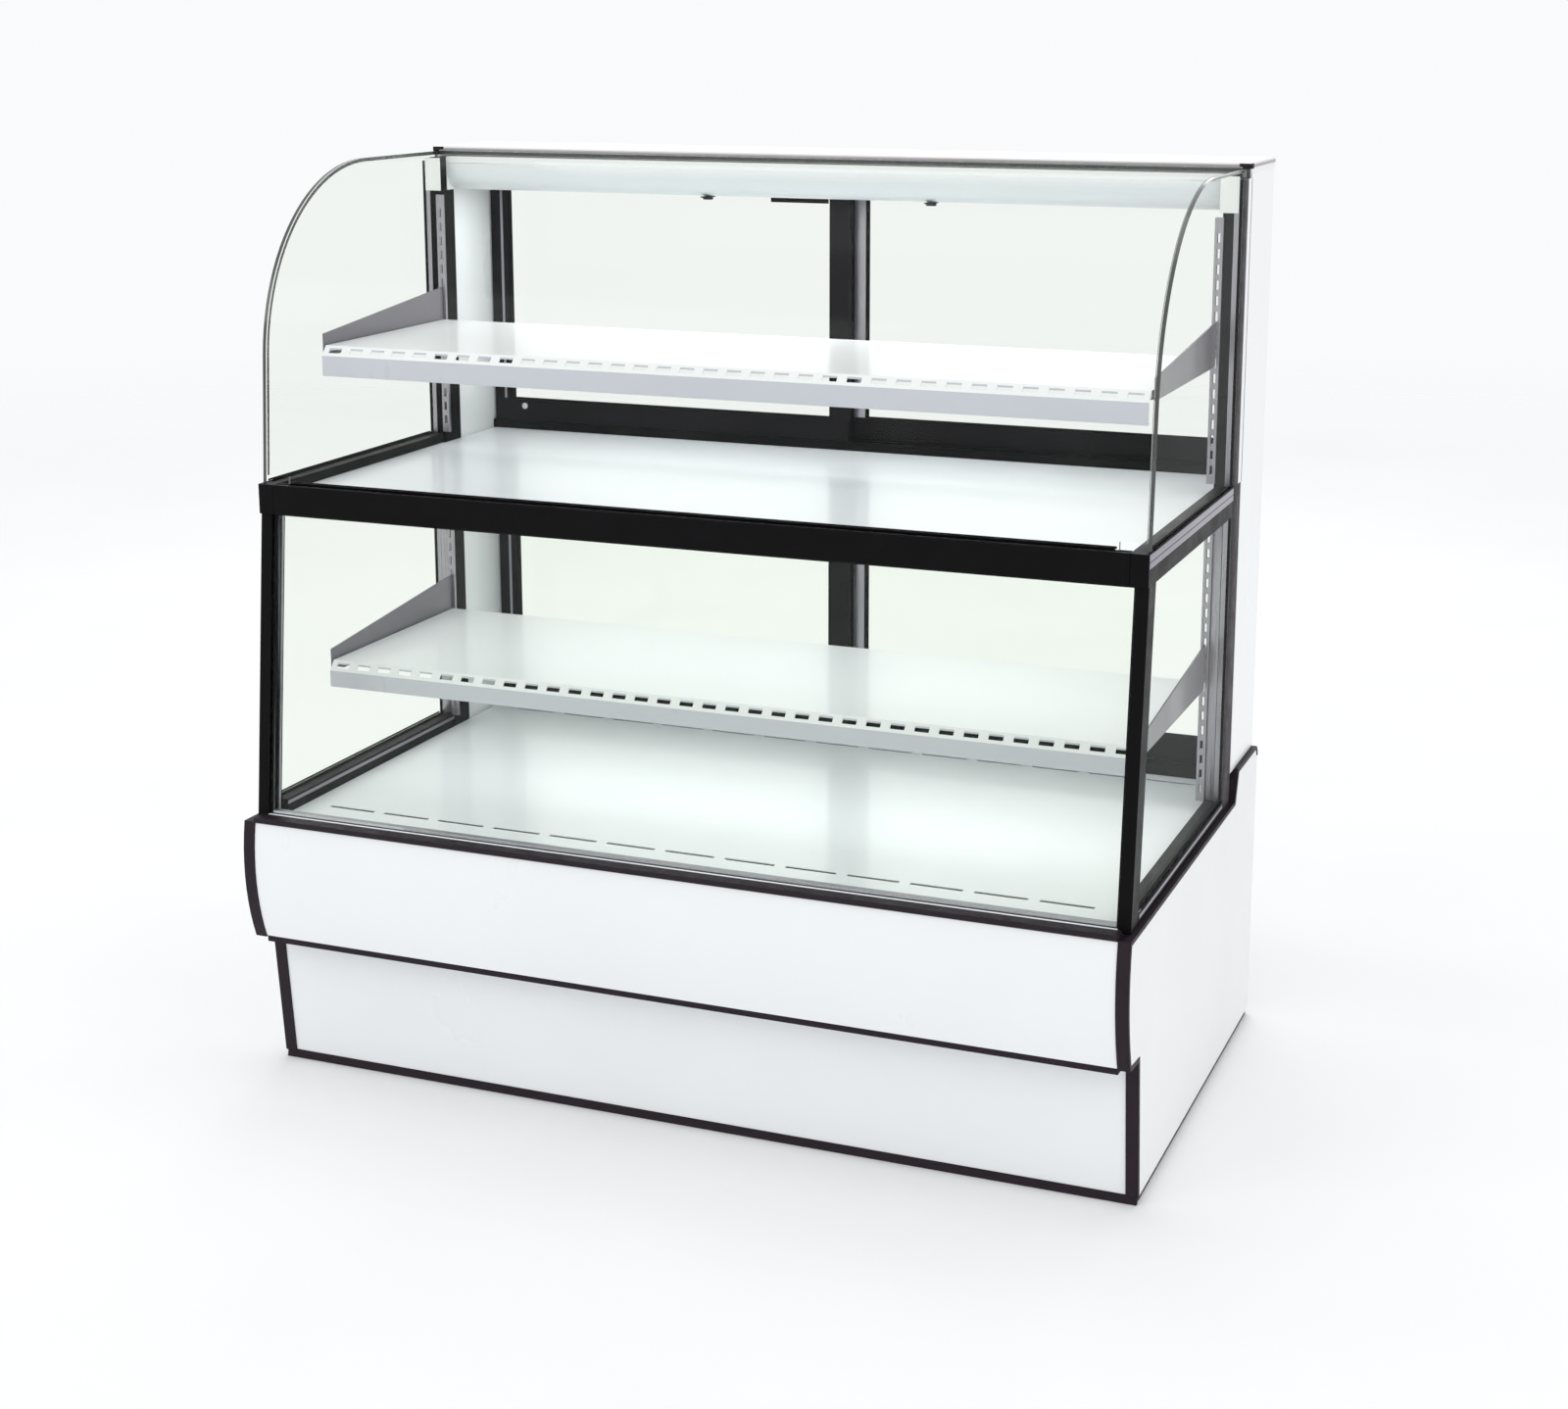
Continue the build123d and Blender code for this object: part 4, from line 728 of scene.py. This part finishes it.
def rear_post_covers():
    """Black strips outside the rear posts, part seam and part painted shadow beside the end glass's rear
    edge, the side panels' front flanges, and the lower posts' facings.
    """
    strip_low, strip_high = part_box("post_strips")
    side_low, side_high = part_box("rear_side_panels")
    post_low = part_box("rear_posts")[0]
    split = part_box("mid_side_rails")[1].z
    lap = post_low.y + 36 * MM
    dark, flange, facing = bmesh.new(), bmesh.new(), bmesh.new()
    for side in SIDES:
        x = mirrored(side, strip_high.x - 0.2 * MM, strip_high.x + 1.1 * MM)
        # These black strips are a seam, widened to stand in for the shadow beside the end glass's rear edge
        # too: painted shadow.
        add_bar(dark, x, (post_low.y + 0.6 * MM, side_low.y + MM), (strip_low.z + 1.5 * MM, split), 0.4 * MM)
        add_bar(dark, x, (post_low.y + 0.6 * MM, lap), (split + 0.1 * MM, strip_high.z - MM), 0.4 * MM)
        x = mirrored(side, strip_high.x + 0.2 * MM, side_high.x)
        add_bar(flange, x, (lap + 0.2 * MM, side_low.y + 4 * MM), (split, strip_high.z - 0.5 * MM), 0.5 * MM)
        x = mirrored(side, -post_low.x - 14.5 * MM, -post_low.x - 0.5 * MM)
        add_bar(facing, x, (post_low.y - 1.1 * MM, post_low.y + 0.1 * MM), POST_FACING_Z, 0.4 * MM)
    finish_piece("post_seam_and_shadow_strips", dark, "trim", "case")
    finish_piece("side_panel_flanges", flange, "enamel", "case")
    finish_piece("lower_post_facings", facing, "aluminium_z", "case")


def canopy_details():
    """End caps of the light canopy, the two lens clips, and the aluminium caps of the lamp."""
    low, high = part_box("light_housing")
    lens_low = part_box("light_lens")[0]
    post_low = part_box("rear_posts")[0]
    shape = bmesh.new()
    for side in SIDES:
        x = mirrored(side, high.x + 1 * MM, CANOPY_CAP_X)
        y = (post_low.y - 2.5 * MM, post_low.y - 0.3 * MM)
        add_bar(shape, x, y, (lens_low.z, high.z - 2 * MM), 0.8 * MM)
        x = mirrored(side, high.x + 0.2 * MM, high.x + 2.2 * MM)
        add_bar(shape, x, (low.y, post_low.y + 100 * MM), (lens_low.z, high.z - 1 * MM), 0.8 * MM)
    finish_piece("canopy_end_caps", shape, "canopy", "case")
    clips = bmesh.new()
    for side in SIDES:
        x = (side * LENS_CLIP_X - 8 * MM, side * LENS_CLIP_X + 8 * MM)
        y = (lens_low.y + 14 * MM, lens_low.y + 44 * MM)
        add_bar(clips, x, y, (lens_low.z - 2.2 * MM, lens_low.z - 0.1 * MM), 0.8 * MM)
        y = (lens_low.y + 24 * MM, lens_low.y + 34 * MM)
        add_bar(clips, x, y, (lens_low.z - 6 * MM, lens_low.z - 2 * MM), 1.2 * MM)
    finish_piece("lens_clips", clips, "plastic", "case")
    caps = bmesh.new()
    centre_y = lens_low.y + 50 * MM
    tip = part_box("lamp_tube")[1].x - 12 * MM
    radius = 13.4 * MM
    wall = [(radius, -1 * MM), (radius, 16 * MM), (radius - 1 * MM, 17 * MM), (radius - 1.2 * MM, 17 * MM)]
    for side in SIDES:
        at = (side * (tip + 0.5 * MM), centre_y, LAMP_Z)
        add_turned(caps, [(0, -1 * MM), *wall], at, (-side, 0, 0), 32)
    finish_piece("lamp_end_caps", caps, "zinc", "case")


def top_panel_edges():
    """Taupe edge band round the top panel's front and ends, with dark corner caps in front."""
    low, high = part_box("top_panel")
    shape = bmesh.new()
    proud = 0.9 * MM
    z = (high.z - 8 * MM, high.z - 3.2 * MM)
    add_bar(shape, (low.x, high.x), (low.y - proud, low.y + 0.2 * MM), z, 0.4 * MM)
    for side in SIDES:
        x = mirrored(side, high.x - 0.2 * MM, high.x + proud)
        add_bar(shape, x, (low.y - proud, high.y - 1 * MM), z, 0.4 * MM)
    finish_piece("top_edge_band", shape, "edge_band", "case")
    caps = bmesh.new()
    for side in SIDES:
        x = mirrored(side, high.x - 20 * MM, high.x + 1.6 * MM)
        add_bar(caps, x, (low.y - 1.4 * MM, low.y + 12 * MM), (high.z - 9.5 * MM, high.z - 1.4 * MM), 1 * MM)
    finish_piece("top_corner_caps", caps, "trim", "case")


def curved_glass_seals():
    """Bulb seal on the curved glass's rear edge, and the clamp strip along its foot."""
    low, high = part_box("curved_front_glass")
    shape = bmesh.new()
    y = (high.y - 5 * MM, high.y - 0.2 * MM)
    add_bar(shape, (low.x + 4 * MM, high.x - 4 * MM), y, (high.z + 0.05 * MM, high.z + 2.6 * MM), 1.1 * MM)
    finish_piece("curved_glass_top_seal", shape, "grey_rubber", "curved_glass")
    barrel_low, barrel_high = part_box("hinge_barrel")
    clamp = bmesh.new()
    middle = (barrel_low.y + barrel_high.y) / 2
    foot = (barrel_high.z - 0.2 * MM, barrel_high.z + 3.5 * MM)
    half = barrel_high.x - 24 * MM
    add_bar(clamp, (-half, half), (middle - 5.2 * MM, middle - 3.1 * MM), foot, 0.6 * MM)
    add_bar(clamp, (-half, half), (middle + 4.6 * MM, middle + 6.6 * MM), foot, 0.6 * MM)
    finish_piece("curved_glass_foot_clamp", clamp, "frame", "curved_glass")


# ---------------------------------------------------------------- pieces on the doors


def door_details():
    """Glass gaskets, and the pale strips on the stiles that are seen from the front."""
    for door in DOORS:
        frame_low, frame_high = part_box(f"{door}_frame")
        glass_low, glass_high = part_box(f"{door}_glass")
        bead = 3 * MM
        shape = bmesh.new()
        x = (glass_low.x, glass_high.x)
        z = (glass_low.z, glass_high.z)
        for y in (glass_low.y - bead / 2, glass_high.y + bead / 2):
            add_ring(shape, x, y, z, bead)
        finish_piece(f"{door}_gasket", shape, "rubber", door)
        strips = bmesh.new()
        face = frame_low.y
        y = (face - 0.6 * MM, face + 0.2 * MM)
        height = (glass_low.z + 2 * MM, glass_high.z - 2 * MM)
        if "left" in door:
            add_bar(strips, (frame_low.x + 20 * MM, frame_low.x + 25 * MM), y, height, 0.3 * MM)
        else:
            add_bar(strips, (frame_low.x + 14 * MM, frame_low.x + 35 * MM), y, height, 0.3 * MM)
            add_bar(strips, (frame_high.x - 26 * MM, frame_high.x - 21 * MM), y, height, 0.3 * MM)
        finish_piece(f"{door}_stile_strips", strips, "aluminium_z", door)


def upper_left_door_details():
    """The plug in the door's lower rail and the stop under its upper one."""
    low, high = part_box("upper_left_door_frame")
    glass_low, glass_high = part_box("upper_left_door_glass")
    dot = bmesh.new()
    profile = [(0, 1.6 * MM), (4 * MM, 1.4 * MM), (5.5 * MM, 0.6 * MM), (6 * MM, -0.1 * MM)]
    add_turned(dot, profile, (low.x + 62 * MM, low.y, (low.z + glass_low.z) / 2 + 12 * MM), (0, -1, 0), 28)
    finish_piece("door_adjuster_plug", dot, "white_mark", "upper_left_door")
    stop = bmesh.new()
    x = (high.x - 150 * MM, high.x - 40 * MM)
    y = (low.y - 0.9 * MM, low.y + 2 * MM)
    add_bar(stop, x, y, (glass_high.z - 12 * MM, glass_high.z + 2 * MM), 0.7 * MM)
    finish_piece("door_top_stop", stop, "door", "upper_left_door")


make_camera()
make_lights()
make_floor()
finish_cad()
paint_details()
base_strips()
rear_cover_details()
side_panel_rivets()
side_rail_strips()
glazing_beads()
pane_stops()
rear_post_covers()
canopy_details()
top_panel_edges()
curved_glass_seals()
door_details()
upper_left_door_details()
